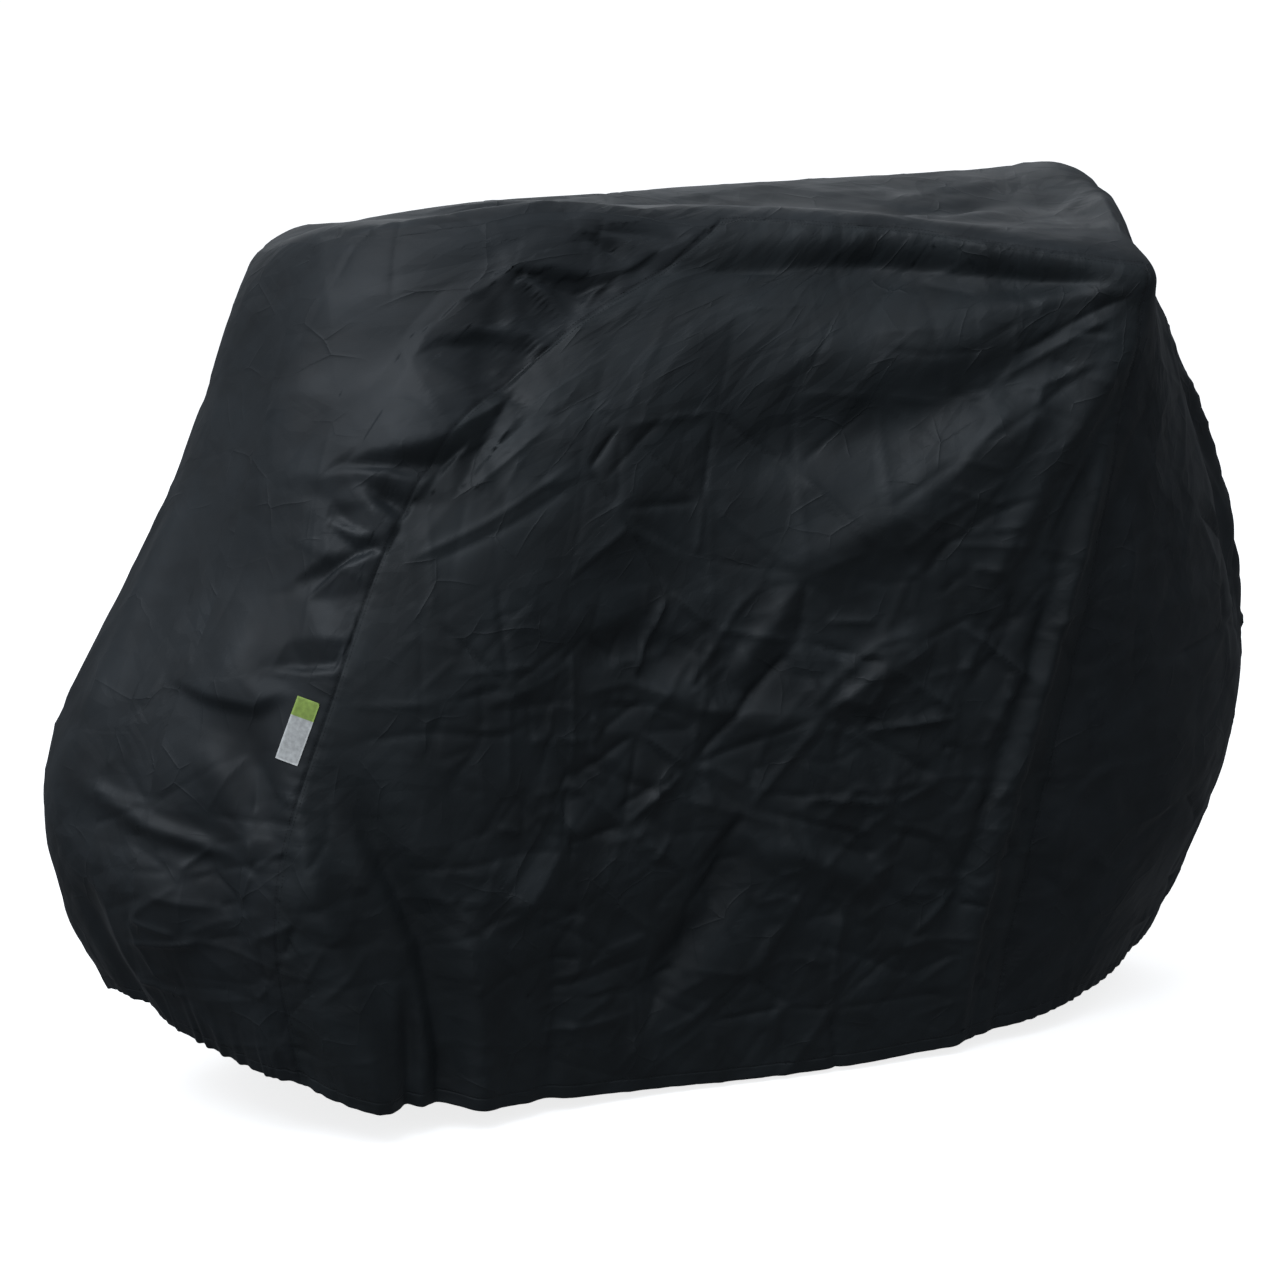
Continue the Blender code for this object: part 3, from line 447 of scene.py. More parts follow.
# Tight folds, in millimetres: flat facets between the lines of each side. Each line is a ridge or a trough,
# and its points hold two places on the side and how far the cloth stands out there. The first and the last
# line are the borders, where the facets run out.
PLEATS = {"near": in_metres((
    ((-50, 1175, 0), (-135, 1165, 0), (-200, 1145, 0), (-285, 1115, 0), (-360, 1075, 0),
     (-410, 1025, 0), (-435, 985, 0), (-470, 945, 0), (-515, 895, 0), (-575, 865, 0), (-615, 840, 0),
     (-630, 780, 0), (-635, 700, 0), (-655, 615, 0)),
    # The crest where the smooth front turns over.
    ((-70, 1150, 2), (-125, 1143, 3), (-165, 1136, 4), (-195, 1120, 3), (-272, 1094, 6),
     (-295, 1077, 4), (-345, 1056, 5), (-388, 1018, 5), (-410, 985, 6), (-440, 942, 6),
     (-490, 880, 5), (-520, 862, 4), (-555, 844, 4), (-585, 830, 2)),
    # Between the crest and the seam, from the top down.
    ((-118, 1136, -2), (-73, 1136, -4), (-18, 1133, -5), (28, 1142, -2)),
    ((-155, 1134, 4), (-110, 1129, 4), (-66, 1120, 4)),
    ((-155, 1128, -2), (-128, 1116, -9), (-95, 1101, -7)),
    ((-175, 1122, 3), (-143, 1107, 4), (-121, 1095, 3)),
    ((-265, 1093, 6), (-215, 1091, 7), (-143, 1086, 4)),
    ((-262, 1086, -4), (-217, 1076, -15), (-181, 1071, -16), (-150, 1075, -10)),
    ((-258, 1083, 3), (-232, 1061, 8), (-203, 1033, 4)),
    ((-271, 1067, 0), (-254, 1049, -6), (-229, 1015, -6)),
    ((-290, 1062, 3), (-277, 1037, 6), (-257, 1003, 2)),
    ((-312, 1054, -1), (-300, 1030, -7), (-280, 1009, -8)),
    ((-383, 1007, 3), (-328, 1018, 8), (-270, 1018, 3)),
    ((-378, 1000, -2), (-327, 1007, -11), (-264, 1007, -12)),
    ((-356, 991, -6), (-331, 982, -17), (-302, 975, -17), (-281, 987, -12)),
    ((-318, 945, 2), (-358, 922, 12), (-411, 893, 17), (-455, 878, 14), (-485, 872, 8)),
    ((-515, 858, -1), (-476, 863, -8), (-411, 873, -12), (-362, 893, -12), (-348, 905, -7)),
    ((-538, 842, 5), (-509, 849, 7), (-476, 852, 9), (-442, 846, 3)),
    ((-503, 838, 0), (-488, 826, -18), (-474, 812, -14)),
    ((-512, 837, 3), (-500, 818, 6), (-486, 798, 5)),
    ((-536, 818, -1), (-533, 804, -9), (-529, 793, -7)),
    ((-548, 795, 2), (-529, 786, 5), (-508, 781, 3)),
    ((-597, 720, 2), (-556, 757, 5)),
    ((-594, 711, 0), (-563, 738, -10), (-531, 766, -13), (-511, 772, -10)),
    ((-588, 703, 2), (-551, 743, 5), (-522, 758, 3)),
    ((-572, 707, -3), (-552, 713, -4)),
    ((-614, 652, 2), (-586, 660, 5), (-558, 660, 2)),
    ((-634, 620, 0), (-610, 623, -12), (-576, 627, -10)),
    ((-635, 612, 2), (-611, 615, 3), (-577, 619, 2)),
    # The seam, which pulls the cloth in, and the smooth panel beyond it.
    ((45, 1152, 0), (-60, 1117, 2), (-119, 1091, 1), (-147, 1079, -4), (-222, 1018, -2),
     (-262, 995, -6), (-299, 968, -8), (-340, 918, -3), (-371, 897, -3), (-395, 879, -4),
     (-433, 845, -2), (-456, 824, -8), (-476, 802, -6), (-500, 764, -3), (-529, 719, -2),
     (-551, 669, -2), (-570, 625, -3)),
    ((70, 1155, 0), (-35, 1098, 0), (-115, 1068, 0), (-205, 998, 0), (-275, 950, 0), (-320, 897, 0),
     (-412, 825, 0), (-455, 783, 0), (-485, 745, 0), (-510, 708, 0), (-535, 663, 0), (-557, 612, 0)),
))}

# Crumples: the cloth is creased from star to star, and lies nearly flat between. Each row has the height,
# how far apart the stars are, the seed that scatters them, and the spots where the cloth is crumpled.
CRUMPLES = {
    "near": [
        Crumple(0.0055, 0.110, 3, [Spot((0.10, 0.50), (0.55, 0.55), 1.0)]),
        Crumple(0.0034, 0.048, 5, [
            Spot((-0.02, 0.36), (0.46, 0.34), 0.95),
            Spot((-0.25, 0.55), (0.22, 0.14), 1.0), Spot((0.14, 0.50), (0.16, 0.16), 1.0),
            Spot((0.30, 0.62), (0.16, 0.22), 0.9), Spot((-0.10, 0.22), (0.34, 0.16), 0.9),
            Spot((-0.30, 0.92), (0.12, 0.12), 0.5), Spot((0.40, 0.95), (0.14, 0.10), 0.9),
            Spot((0.34, 0.25), (0.16, 0.20), 1.0), Spot((-0.68, 0.30), (0.14, 0.16), 1.0),
        ]),
    ],
    "far": [
        Crumple(0.0035, 0.120, 13, [Spot((0.0, 0.55), (2.0, 2.0), 1.0)]),
        Crumple(0.0022, 0.060, 15, [Spot((0.0, 0.45), (0.45, 0.35), 1.0)]),
    ],
    "left": [Crumple(0.0022, 0.080, 23, [Spot((0.0, 0.25), (0.5, 0.30), 1.0)])],
    "right": [Crumple(0.0038, 0.070, 33, [Spot((0.0, 0.50), (0.5, 0.60), 1.0)])],
    "roof": [Crumple(0.0016, 0.100, 43, [Spot((0.1, 0.0), (1.0, 0.5), 1.0)])],
}


# ---------------------------------------------------------------- curves
def run_up(steps):
    """How far one is after none of the steps, after the first, after the second, and so on."""
    return np.concatenate([[0.0], np.cumsum(steps)])


def curve(knots, values, at):
    """The smooth curve through the values at the knots, read at one place."""
    knots, values = np.asarray(knots, float), np.asarray(values, float)
    slopes = np.gradient(values, knots, axis=0)
    k = int(np.clip(np.searchsorted(knots, at, side="right") - 1, 0, len(knots) - 2))
    span = knots[k + 1] - knots[k]
    t = (at - knots[k]) / span
    rise = t * t * (3 - 2 * t)
    lead_in, lead_out = t * (1 - t) ** 2 * span, -t * t * (1 - t) * span
    return (1 - rise) * values[k] + rise * values[k + 1] + lead_in * slopes[k] + lead_out * slopes[k + 1]


def line_point(place, share):
    """The point of one line at a share of the way from its hem to its top."""
    line = LINES[place]
    height = line.hem + share * (line.top - line.hem)
    return np.array([curve(STATIONS, line.x, share), curve(STATIONS, line.y, share), height])


def outline_point(points, place, part):
    """A point of the closed outline through the points, part of the way from one place to the next."""
    at = [points[(place + k) % len(points)] for k in (-1, 0, 1, 2)]
    steps = [np.linalg.norm(at[k + 1] - at[k]) for k in range(3)]
    knots = run_up(steps)
    return curve(knots, at, knots[1] + part * steps[1])


def places_along(at, passed, path):
    """The places on a path at those distances; passed holds each of its points' distance."""
    return np.stack([np.interp(at, passed, path[:, axis]) for axis in range(3)], axis=1)


def eased(amount):
    """From 0 to 1 with a soft start and a soft end."""
    amount = np.clip(amount, 0.0, 1.0)
    return amount * amount * (3 - 2 * amount)


def dying_away(travelled, share):
    """1 along the middle of a path, and easing to 0 over that share of it at each end."""
    return eased(travelled / share) * eased((1 - travelled) / share)


def around_spot(points, place, reach):
    """1 at a place, and falling away round it like a bell."""
    distance = np.linalg.norm(points - np.array(place), axis=1)
    return np.exp(-((distance / reach) ** 2))


def new_object(name, data):
    """A new object in the scene."""
    item = bpy.data.objects.new(name, data)
    bpy.context.scene.collection.objects.link(item)
    return item


# ---------------------------------------------------------------- the cage and the skin
def wall_columns():
    """The columns of the cage round the walls: the place each follows and the part of the way on."""
    columns = []
    for number, place in enumerate(PLACES):
        if place.startswith("nose"):
            columns.append((number, 1 / 3))
        elif place in COLUMNS:
            columns += [(number, k / COLUMNS[place]) for k in range(COLUMNS[place])]
        else:
            columns += [(number, 0.0), (number, 2 / 3)]
    return columns


def build_cage():
    """The coarse mesh of the whole cover: its points, faces, each face's panel, and each corner's UV."""
    columns = wall_columns()
    around = len(columns)
    start = {place: columns.index((n, 0.0)) for n, place in enumerate(PLACES) if (n, 0.0) in columns}
    panels = {
        "side_panel_near": range(start["near_seam_left"], start["near_seam_right"]),
        "side_panel_far": range(start["far_seam_right"], start["far_seam_left"]),
    }
    points, faces, owners, uvs = [], [], [], []
    for share in WALL_ROWS:
        section = [line_point(place, share) for place in PLACES]
        points += [outline_point(section, *column) for column in columns]
    wall = np.array(points).reshape(len(WALL_ROWS), around, 3)
    waist = wall[len(WALL_ROWS) // 2]
    passed = run_up(np.linalg.norm(np.roll(waist, -1, axis=0) - waist, axis=1))
    rising = run_up(np.linalg.norm(np.diff(wall, axis=0), axis=2).mean(axis=1))
    for row in range(len(WALL_ROWS) - 1):
        for column in range(around):
            low, high, after = row * around, (row + 1) * around, (column + 1) % around
            faces.append((low + column, low + after, high + after, high + column))
            left, right, below, above = passed[column], passed[column + 1], rising[row], rising[row + 1]
            uvs.append(((left, below), (right, below), (right, above), (left, above)))
            owners.append(next((name for name, span in panels.items() if column in span), "gusset"))
    # The roof joins the top row of the near wall to the top row of the far wall.
    top = (len(WALL_ROWS) - 1) * around
    length = start["near_right"] - start["near_left"]
    grid = [[None] * (length + 1) for _ in range(ACROSS_ROOF + 1)]
    grid[0] = [top + start["near_left"] + k for k in range(length + 1)]
    grid[-1] = [top + start["far_right"] + length - k for k in range(length + 1)]
    for j in range(1, ACROSS_ROOF):
        share = j / ACROSS_ROOF
        grid[j][0] = top + (start["near_left"] - j) % around
        grid[j][-1] = top + start["near_right"] + j
        for k in range(1, length):
            grid[j][k] = len(points)
            level = points[grid[0][k]] * (1 - share) + points[grid[-1][k]] * share
            points.append(level + np.array([0, 0, ROOF_CROWN * 4 * share * (1 - share)]))
    for j in range(ACROSS_ROOF):
        for k in range(length):
            corners = (grid[j][k], grid[j][k + 1], grid[j + 1][k + 1], grid[j + 1][k])
            faces.append(corners)
            uvs.append([(points[corner][0], points[corner][1] + ROOF_UV) for corner in corners])
            owners.append("gusset")
    return np.array(points), faces, owners, uvs


def read(items, name, width=1, kind=int):
    """One property of every item of a mesh, as rows of that width."""
    flat = np.empty(width * len(items), kind)
    items.foreach_get(name, flat)
    return flat if width == 1 else flat.reshape(-1, width)


def smoothed(points, faces, owners, uvs):
    """The mesh that smooths a cage; its first points are the cage's own, in the same order."""
    mesh = bpy.data.meshes.new("cage")
    mesh.from_pydata(points.tolist(), [], faces)
    mesh.polygons.foreach_set("material_index", [PANELS.index(owner) for owner in owners])
    mesh.uv_layers.new(name="cloth").data.foreach_set("uv", np.array(uvs).ravel())
    cage = new_object("cage", mesh)
    smooth = cage.modifiers.new("smooth", "SUBSURF")
    smooth.levels = smooth.render_levels = SMOOTH_LEVELS
    graph = bpy.context.evaluated_depsgraph_get()
    result = bpy.data.meshes.new_from_object(cage.evaluated_get(graph))
    bpy.data.objects.remove(cage)
    bpy.data.meshes.remove(mesh)
    return result


def finer_cuts(panel, middle, facing):
    """How many cuts a face of the skin gets along each edge: more where it is seen closest."""
    if panel == "side_panel_near":
        return 2
    if panel == "side_panel_far":
        return 1
    if middle.x < LEFT_FRONT_X and middle.y < LEFT_FRONT_Y and facing.y < LEFT_FRONT_FACING:
        return 2
    return int(middle.x > RIGHT_END_X and middle.y < RIGHT_END_Y and middle.z < RIGHT_END_TOP)


def build_skin():
    """The smooth, thin surface of the whole cover, cut finer where it is seen closest."""
    wanted, faces, owners, uvs = build_cage()
    points = wanted.copy()
    # Smoothing draws a cage inwards, so its points move out until the skin passes through the lines.
    for _ in range(FITTING_ROUNDS):
        result = smoothed(points, faces, owners, uvs)
        points += wanted - read(result.vertices, "co", 3, float)[: len(points)]
    mesh = smoothed(points, faces, owners, uvs)
    skin = bmesh.new()
    skin.from_mesh(mesh)
    skin.normal_update()
    chosen = {1: [], 2: []}
    for face in skin.faces:
        cuts = finer_cuts(PANELS[face.material_index], face.calc_center_median(), face.normal)
        if cuts:
            chosen[cuts].append(face)
    edges = {cuts: {edge for face in some for edge in face.edges} for cuts, some in chosen.items()}
    edges[1] -= edges[2]
    for cuts in (2, 1):
        bmesh.ops.subdivide_edges(skin, edges=list(edges[cuts]), cuts=cuts, use_grid_fill=True)
    bmesh.ops.triangulate(skin, faces=[face for face in skin.faces if len(face.verts) > 4])
    skin.to_mesh(mesh)
    skin.free()
    return mesh


def run_of(edges):
    """The points of joined edges in order, from one end of their run to the other."""
    beside = {}
    for a, b in edges:
        beside.setdefault(a, []).append(b)
        beside.setdefault(b, []).append(a)
    ends = [point for point, others in beside.items() if len(others) == 1]
    run = [min(ends) if ends else min(beside)]
    before = None
    while True:
        onward = [point for point in beside[run[-1]] if point != before and point != run[0]]
        if not onward:
            return run
        before = run[-1]
        run.append(onward[0])


class Skin:
    """The skin's points, faces, seams and hem, as arrays."""

    def __init__(self, mesh):
        self.mesh = mesh
        self.points = read(mesh.vertices, "co", 3, float)
        self.faces = [tuple(polygon.vertices) for polygon in mesh.polygons]
        self.panel = read(mesh.polygons, "material_index")
        self.edges = read(mesh.edges, "vertices", 2)
        self.corner_points = read(mesh.loops, "vertex_index")
        self.corner_edges = read(mesh.loops, "edge_index")
        self.corner_panels = np.repeat(self.panel, read(mesh.polygons, "loop_total"))
        self.cloth_uvs = read(mesh.uv_layers[0].data, "uv", 2, float)
        self.point_uvs = np.zeros((len(self.points), 2))
        self.point_uvs[self.corner_points] = self.cloth_uvs
        sides = np.bincount(self.corner_edges, minlength=len(self.edges))
        self.on_rim = sides == 1
        first, last = np.full(len(self.edges), -1), np.full(len(self.edges), -1)
        first[self.corner_edges] = self.corner_panels
        last[self.corner_edges[::-1]] = self.corner_panels[::-1]
        self.at_rim = np.zeros(len(self.points), bool)
        self.at_rim[self.edges[self.on_rim].ravel()] = True
        self.seams = {}
        for number, panel in enumerate(PANELS[1:], start=1):
            joined = (sides == 2) & (first + last == number) & (first != last)
            self.seams[panel] = run_of(self.edges[joined].tolist())
        self.hem = run_of(self.edges[self.on_rim].tolist())
        lengths = np.linalg.norm(self.points[self.edges[:, 0]] - self.points[self.edges[:, 1]], axis=1)
        self.shortest = np.full(len(self.points), np.inf)
        for end in (0, 1):
            np.minimum.at(self.shortest, self.edges[:, end], lengths)
        self.fixed = self.at_rim.copy()
        for run in self.seams.values():
            self.fixed[run] = True

    def normals(self):
        """The normal at each point."""
        self.mesh.vertices.foreach_set("co", self.points.ravel())
        self.mesh.update()
        return read(self.mesh.vertex_normals, "vector", 3, float)

    def relax(self, rounds, amount):
        """Moves each point part of the way to the middle of its neighbours; the hem only along itself."""
        starts = np.concatenate([self.edges[:, 0], self.edges[:, 1]])
        ends = np.concatenate([self.edges[:, 1], self.edges[:, 0]])
        pulls = np.tile(self.on_rim, 2) | ~self.at_rim[starts]
        starts, ends = starts[pulls], ends[pulls]
        count = np.maximum(np.bincount(starts, minlength=len(self.points)), 1)
        for _ in range(rounds):
            for axis in range(3):
                values = self.points[:, axis]
                middle = np.bincount(starts, values[ends], len(values)) / count
                self.points[:, axis] += amount * (middle - values)

    def measure_seams(self):
        """How far each point is from the nearest seam, and how far along it."""
        places, passed = [], []
        start = 0.0
        for run in self.seams.values():
            along_run = self.points[run]
            steps = np.linalg.norm(np.diff(along_run, axis=0), axis=1)
            knots = start + run_up(steps)
            at = np.interp(np.arange(len(run) * SEAM_SAMPLES) / SEAM_SAMPLES, np.arange(len(run)), knots)
            places.append(places_along(at, knots, along_run))
            passed.append(at)
            start = knots[-1] + 1.0
        places, passed = np.concatenate(places), np.concatenate(passed)
        tree = KDTree(len(places))
        for number, place in enumerate(places):
            tree.insert(place, number)
        tree.balance()
        found = [tree.find(point)[1:] for point in self.points]
        numbers = np.array([number for number, _ in found])
        self.seam_away = np.array([distance for _, distance in found])
        self.seam_passed = passed[numbers]


# ---------------------------------------------------------------- folds, creases and crumples
def legs_of(path, flat):
    """Each leg of a path, with the share of it to the place nearest to each flat point, and the way from
    there to the point."""
    path = np.array(path)
    for start, leg in zip(path[:-1], np.diff(path, axis=0)):
        share = np.clip((flat - start) @ leg / (leg @ leg), 0, 1)
        yield leg, share, flat - start - share[:, None] * leg


def along(path, flat):
    """For each flat point: how far to the left of the path it lies, and how far along the path."""
    lengths = np.linalg.norm(np.diff(path, axis=0), axis=1)
    passed = run_up(lengths)
    nearest = np.full(len(flat), np.inf)
    offset, travelled = np.zeros(len(flat)), np.zeros(len(flat))
    for k, (leg, share, gap) in enumerate(legs_of(path, flat)):
        distance = np.linalg.norm(gap, axis=1)
        closer = distance < nearest
        side = np.sign(leg[0] * gap[:, 1] - leg[1] * gap[:, 0])
        nearest[closer] = distance[closer]
        offset[closer] = (side * distance)[closer]
        travelled[closer] = ((passed[k] + share * lengths[k]) / passed[-1])[closer]
    return offset, travelled


class Flat:
    """Points laid out flat, kept in order from left to right so that those by a path are found quickly."""

    def __init__(self, points):
        self.order = np.argsort(points[:, 0], kind="stable")
        self.across = points[self.order, 0]
        self.points = points

    def by(self, path, reach):
        """The numbers of the points within reach of a path's box."""
        low, high = np.min(path, axis=0) - reach, np.max(path, axis=0) + reach
        first, last = np.searchsorted(self.across, (low[0], high[0]))
        some = self.order[first:last]
        rise = self.points[some, 1]
        return some[(rise > low[1]) & (rise < high[1])]


def draw_onto_lines(skin, normals, side, paths):
    """Slides the points that are nearest to sharp lines onto them, along the cloth, to keep them sharp."""
    flat = Flat(skin.points[:, side.axes])
    best = np.full((len(skin.points), 2), np.inf)
    for path in paths:
        near = flat.by(path, DRAWN_FROM)
        for _, _, gap in legs_of(path, flat.points[near]):
            closer = np.sum(gap**2, axis=1) < np.sum(best[near] ** 2, axis=1)
            best[near[closer]] = gap[closer]
    facing = np.array(side.facing)
    straight_on = normals @ facing
    close = np.sqrt(np.sum(best**2, axis=1)) < np.minimum(DRAWN_FROM, DRAWN_SHARE * skin.shortest)
    drawn = np.flatnonzero(close & (straight_on > FACES_BY[1]) & ~skin.fixed)
    slide = np.zeros((len(drawn), 3))
    slide[:, side.axes] = -best[drawn]
    slide -= (np.sum(slide * normals[drawn], axis=1) / straight_on[drawn])[:, None] * facing
    skin.points[drawn] += slide


def add_folds(lift, flat, faces_it, folds):
    """The broad folds, most of which the solids have too."""
    for fold in folds:
        near = flat.by(fold.path, FOLD_REACH * max(fold.left, fold.right))
        offset, travelled = along(fold.path, flat.points[near])
        flank = np.where(offset > 0, fold.left, fold.right)
        ends = dying_away(travelled, FADE)
        lift[near] += fold.height * np.exp(-((offset / flank) ** 2)) * ends * faces_it[near]


def ridge(distance, width):
    """A crease's profile: 1 at its edge, and down on both sides like a tent."""
    return np.exp(-(np.sqrt(distance**2 + CREASE_ROUND**2) - CREASE_ROUND) / width)


def evened(values, edges, rounds):
    """Values at the skin's points, each brought halfway to its neighbours' mean, again and again."""
    for _ in range(rounds):
        total, count = np.zeros(len(values)), np.zeros(len(values))
        for here, there in ((0, 1), (1, 0)):
            np.add.at(total, edges[:, here], values[edges[:, there]])
            np.add.at(count, edges[:, here], 1)
        values = (values + total / np.maximum(count, 1)) / 2
    return values


def add_pleats(lift, flat, faces_it, lines, neighbours):
    """The tight folds, whose facets lie flat between their lines."""
    points = [point for line in lines for point in line]
    edges, count = [], 0
    for line in lines:
        edges += [(count + k, count + k + 1) for k in range(len(line) - 1)]
        count += len(line)
    found = delaunay_2d_cdt([Vector(point[:2]) for point in points], edges, [], 0, SAME_PLACE)
    heights = [points[origins[0]][2] if origins else 0.0 for origins in found[3]]
    tree = BVHTree.FromPolygons([(*at, height) for at, height in zip(found[0], heights)], found[2])
    near = flat.by([point[:2] for point in points], 0.0)
    pleated = np.zeros(len(lift))
    for number in near:
        if faces_it[number] > PLEATED_FROM:
            hit = tree.ray_cast(Vector((*flat.points[number], 1.0)), DOWN)[0]
            pleated[number] = hit.z * faces_it[number] if hit else 0.0
    lift += evened(pleated, neighbours, PLEAT_ROUNDS)


def add_creases(lift, flat, faces_it, creases):
    """The thin creases."""
    for crease in creases:
        near = flat.by(crease.path, CREASE_REACH * crease.width)
        offset, travelled = along(crease.path, flat.points[near])
        ends = dying_away(travelled, CREASE_FADE)
        lift[near] += crease.height * ridge(offset, crease.width) * ends * faces_it[near]


def scattered_stars(low, high, spacing, seed):
    """Stars about that far apart over a rectangle: their places and heights, the triangles between them,
    and how strongly each side of those is creased."""
    random = np.random.default_rng(seed)
    across, up = np.ceil((high - low) / spacing).astype(int) + 2
    grid = np.array([(column, row) for column in range(across) for row in range(up)])
    stars = low + (grid - 0.5 + random.uniform(-STAR_SCATTER, STAR_SCATTER, grid.shape)) * spacing
    heights = random.uniform(-1, 1, len(stars))
    found = delaunay_2d_cdt([Vector(star) for star in stars], [], [], 0, SAME_PLACE)
    kept = [origins[0] for origins in found[3]]
    triangles = [tuple(triangle) for triangle in found[2]]
    strengths = random.normal(size=len(sides_of(triangles))) * CREASED_EDGE
    return stars[kept], heights[kept], triangles, strengths


def crumpled(flat, faces_it, crumple):
    """How much each point is crumpled, from 0 to 1."""
    weight = np.zeros(len(flat.points))
    for spot in crumple.zones:
        apart = (flat.points - np.array(spot.place)) / np.array(spot.reach)
        weight = np.maximum(weight, spot.amount * np.exp(-np.sum(apart**2, axis=1) ** 2))
    return weight * faces_it


def sides_of(triangles):
    """Each side of the triangles, once."""
    sides = [(triangle[k], triangle[k - 1]) for triangle in triangles for k in range(3)]
    return sorted({tuple(sorted(side)) for side in sides})


def add_crumples(lift, flat, weight, crumple, net):
    """The crumples: facets between the stars, and a raised or sunk crease along some of their edges."""
    near = np.flatnonzero(weight > CRUMPLED_FROM)
    at = flat.points[near]
    here = Flat(at)
    stars, heights, triangles, strengths = net
    tree = BVHTree.FromPolygons([(*star, height) for star, height in zip(stars, heights)], triangles)
    facets = np.array([tree.ray_cast((x, y, 2.0), DOWN)[0].z for x, y in at])
    bump = np.zeros(len(at))
    for (first, second), strength in zip(sides_of(triangles), strengths):
        path = (stars[first], stars[second])
        by = here.by(path, CREASE_OUT)
        if abs(strength) < FAINTEST or not len(by):
            continue
        offset, travelled = along(path, at[by])
        ends = dying_away(travelled, CREASE_FADE)
        bump[by] += strength * ridge(offset, CREASE_WIDTH) * ends
    lift[near] += (facets + bump) * weight[near] * crumple.height


def uneven_waves(at, pitch, seed):
    """Waves about that long, uneven in length and in height, from -1 to 1."""
    random = np.random.default_rng(seed)
    knots = np.arange(at.min() - pitch, at.max() + 3 * pitch, WAVE_CHANGE * pitch)
    shift = np.interp(at, knots, random.uniform(-WAVE_TURN, WAVE_TURN, len(knots)))
    height = np.interp(at, knots, random.uniform(WAVE_LEAST, 1.0, len(knots)))
    return height * np.cos(2 * np.pi * at / pitch + shift)


def add_seams(lift, skin):
    """The groove along each seam, and the ripples beside it where it is drawn tight."""
    away, passed = skin.seam_away, skin.seam_passed
    tight = np.full(len(lift), PUCKER_LEAST)
    for spot in TIGHT_SEAMS:
        tight = np.maximum(tight, spot.amount * around_spot(skin.points, spot.place, spot.reach))
    side = np.zeros(len(lift))
    side[skin.corner_points] = skin.corner_panels > 0
    on_side, on_gusset = (uneven_waves(passed, PUCKER_PITCH, seed) for seed in PUCKER_SEEDS)
    ripples = np.where(side > 0, on_side, on_gusset)
    rising = 1 - np.exp(-((away / SEAM_WIDTH) ** 2))
    lift += tight * PUCKER_HEIGHT * ripples * rising * np.exp(-away / PUCKER_REACH)
    lift -= SEAM_DEPTH * np.exp(-((away / SEAM_WIDTH) ** 2))


def add_gathers(lift, skin):
    """The small folds that the elastic draws up at both ends of the hem."""
    around, above = skin.point_uvs.T
    fullness = eased((np.abs(skin.points[:, 0]) - GATHERED_FROM) / (GATHERED_TO - GATHERED_FROM))
    fullness = GATHER_LEAST + (1 - GATHER_LEAST) * fullness
    broad, fine = GATHER_SEEDS
    waves = uneven_waves(around, GATHER_PITCH, broad)
    waves += FINER_HEIGHT * uneven_waves(around, FINER_PITCH * GATHER_PITCH, fine)
    height = GATHER_HEIGHT * fullness * waves * np.exp(-above / GATHER_REACH)
    lift += np.where(above < WALL_UV_END, height, 0.0)


def peak_pushes(points):
    """How far the hard things under the cloth push each point of the skin."""
    push = np.zeros_like(points)
    for peak in PEAKS:
        push += around_spot(points, peak.place, peak.reach)[:, None] * np.array(peak.push)
    return push


def shape_side(skin, normals, lift, name):
    """Adds the folds, creases and crumples of one side to the lift."""
    side = SIDES[name]
    faces_it = eased((normals @ np.array(side.facing) - FACES_BY[0]) / (FACES_BY[1] - FACES_BY[0]))
    flat = Flat(skin.points[:, side.axes])
    paths = [crease.path for crease in CREASES[name]]
    paths += [[point[:2] for point in line] for line in PLEATS.get(name, ())[1:-1]]
    nets = []
    for crumple in CRUMPLES[name]:
        at = flat.points[crumpled(flat, faces_it, crumple) > CRUMPLED_FROM]
        net = scattered_stars(at.min(axis=0), at.max(axis=0), crumple.spacing, crumple.seed)
        nets.append(net)
        paths += [(net[0][first], net[0][second]) for first, second in sides_of(net[2])]
    draw_onto_lines(skin, normals, side, paths)
    flat = Flat(skin.points[:, side.axes])
    add_folds(lift, flat, faces_it, FOLDS[name])
    if name in PLEATS:
        add_pleats(lift, flat, faces_it, PLEATS[name], skin.edges)
    add_creases(lift, flat, faces_it, CREASES[name])
    for crumple, net in zip(CRUMPLES[name], nets):
        add_crumples(lift, flat, crumpled(flat, faces_it, crumple), crumple, net)


def shape_skin(skin):
    """Pushes the peaks, folds and creases into the skin, then measures it from the part's origin."""
    normals = skin.normals()
    lift = np.zeros(len(skin.points))
    for name in SIDES:
        shape_side(skin, normals, lift, name)
    add_seams(lift, skin)
    add_gathers(lift, skin)
    skin.points += peak_pushes(skin.points) + lift[:, None] * normals
    skin.points -= np.array(ORIGIN)


# ---------------------------------------------------------------- pieces
def add_piece(name, points, faces, layers, material):
    """Puts a mesh in the scene as one piece of the cover."""
    mesh = bpy.data.meshes.new(name)
    mesh.from_pydata([tuple(point) for point in points], [], faces)
    for layer, uvs in layers.items():
        mesh.uv_layers.new(name=layer).data.foreach_set("uv", np.array(uvs, float).ravel())
    mesh.shade_smooth()
    mesh.materials.append(material)
    piece = new_object(name, mesh)
    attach(piece, "root")
    return piece


def down_the_cloth(normal):
    """The way down along cloth that faces that way."""
    down = np.array([0, 0, -1.0]) + normal[2] * normal
    return down / np.linalg.norm(down)


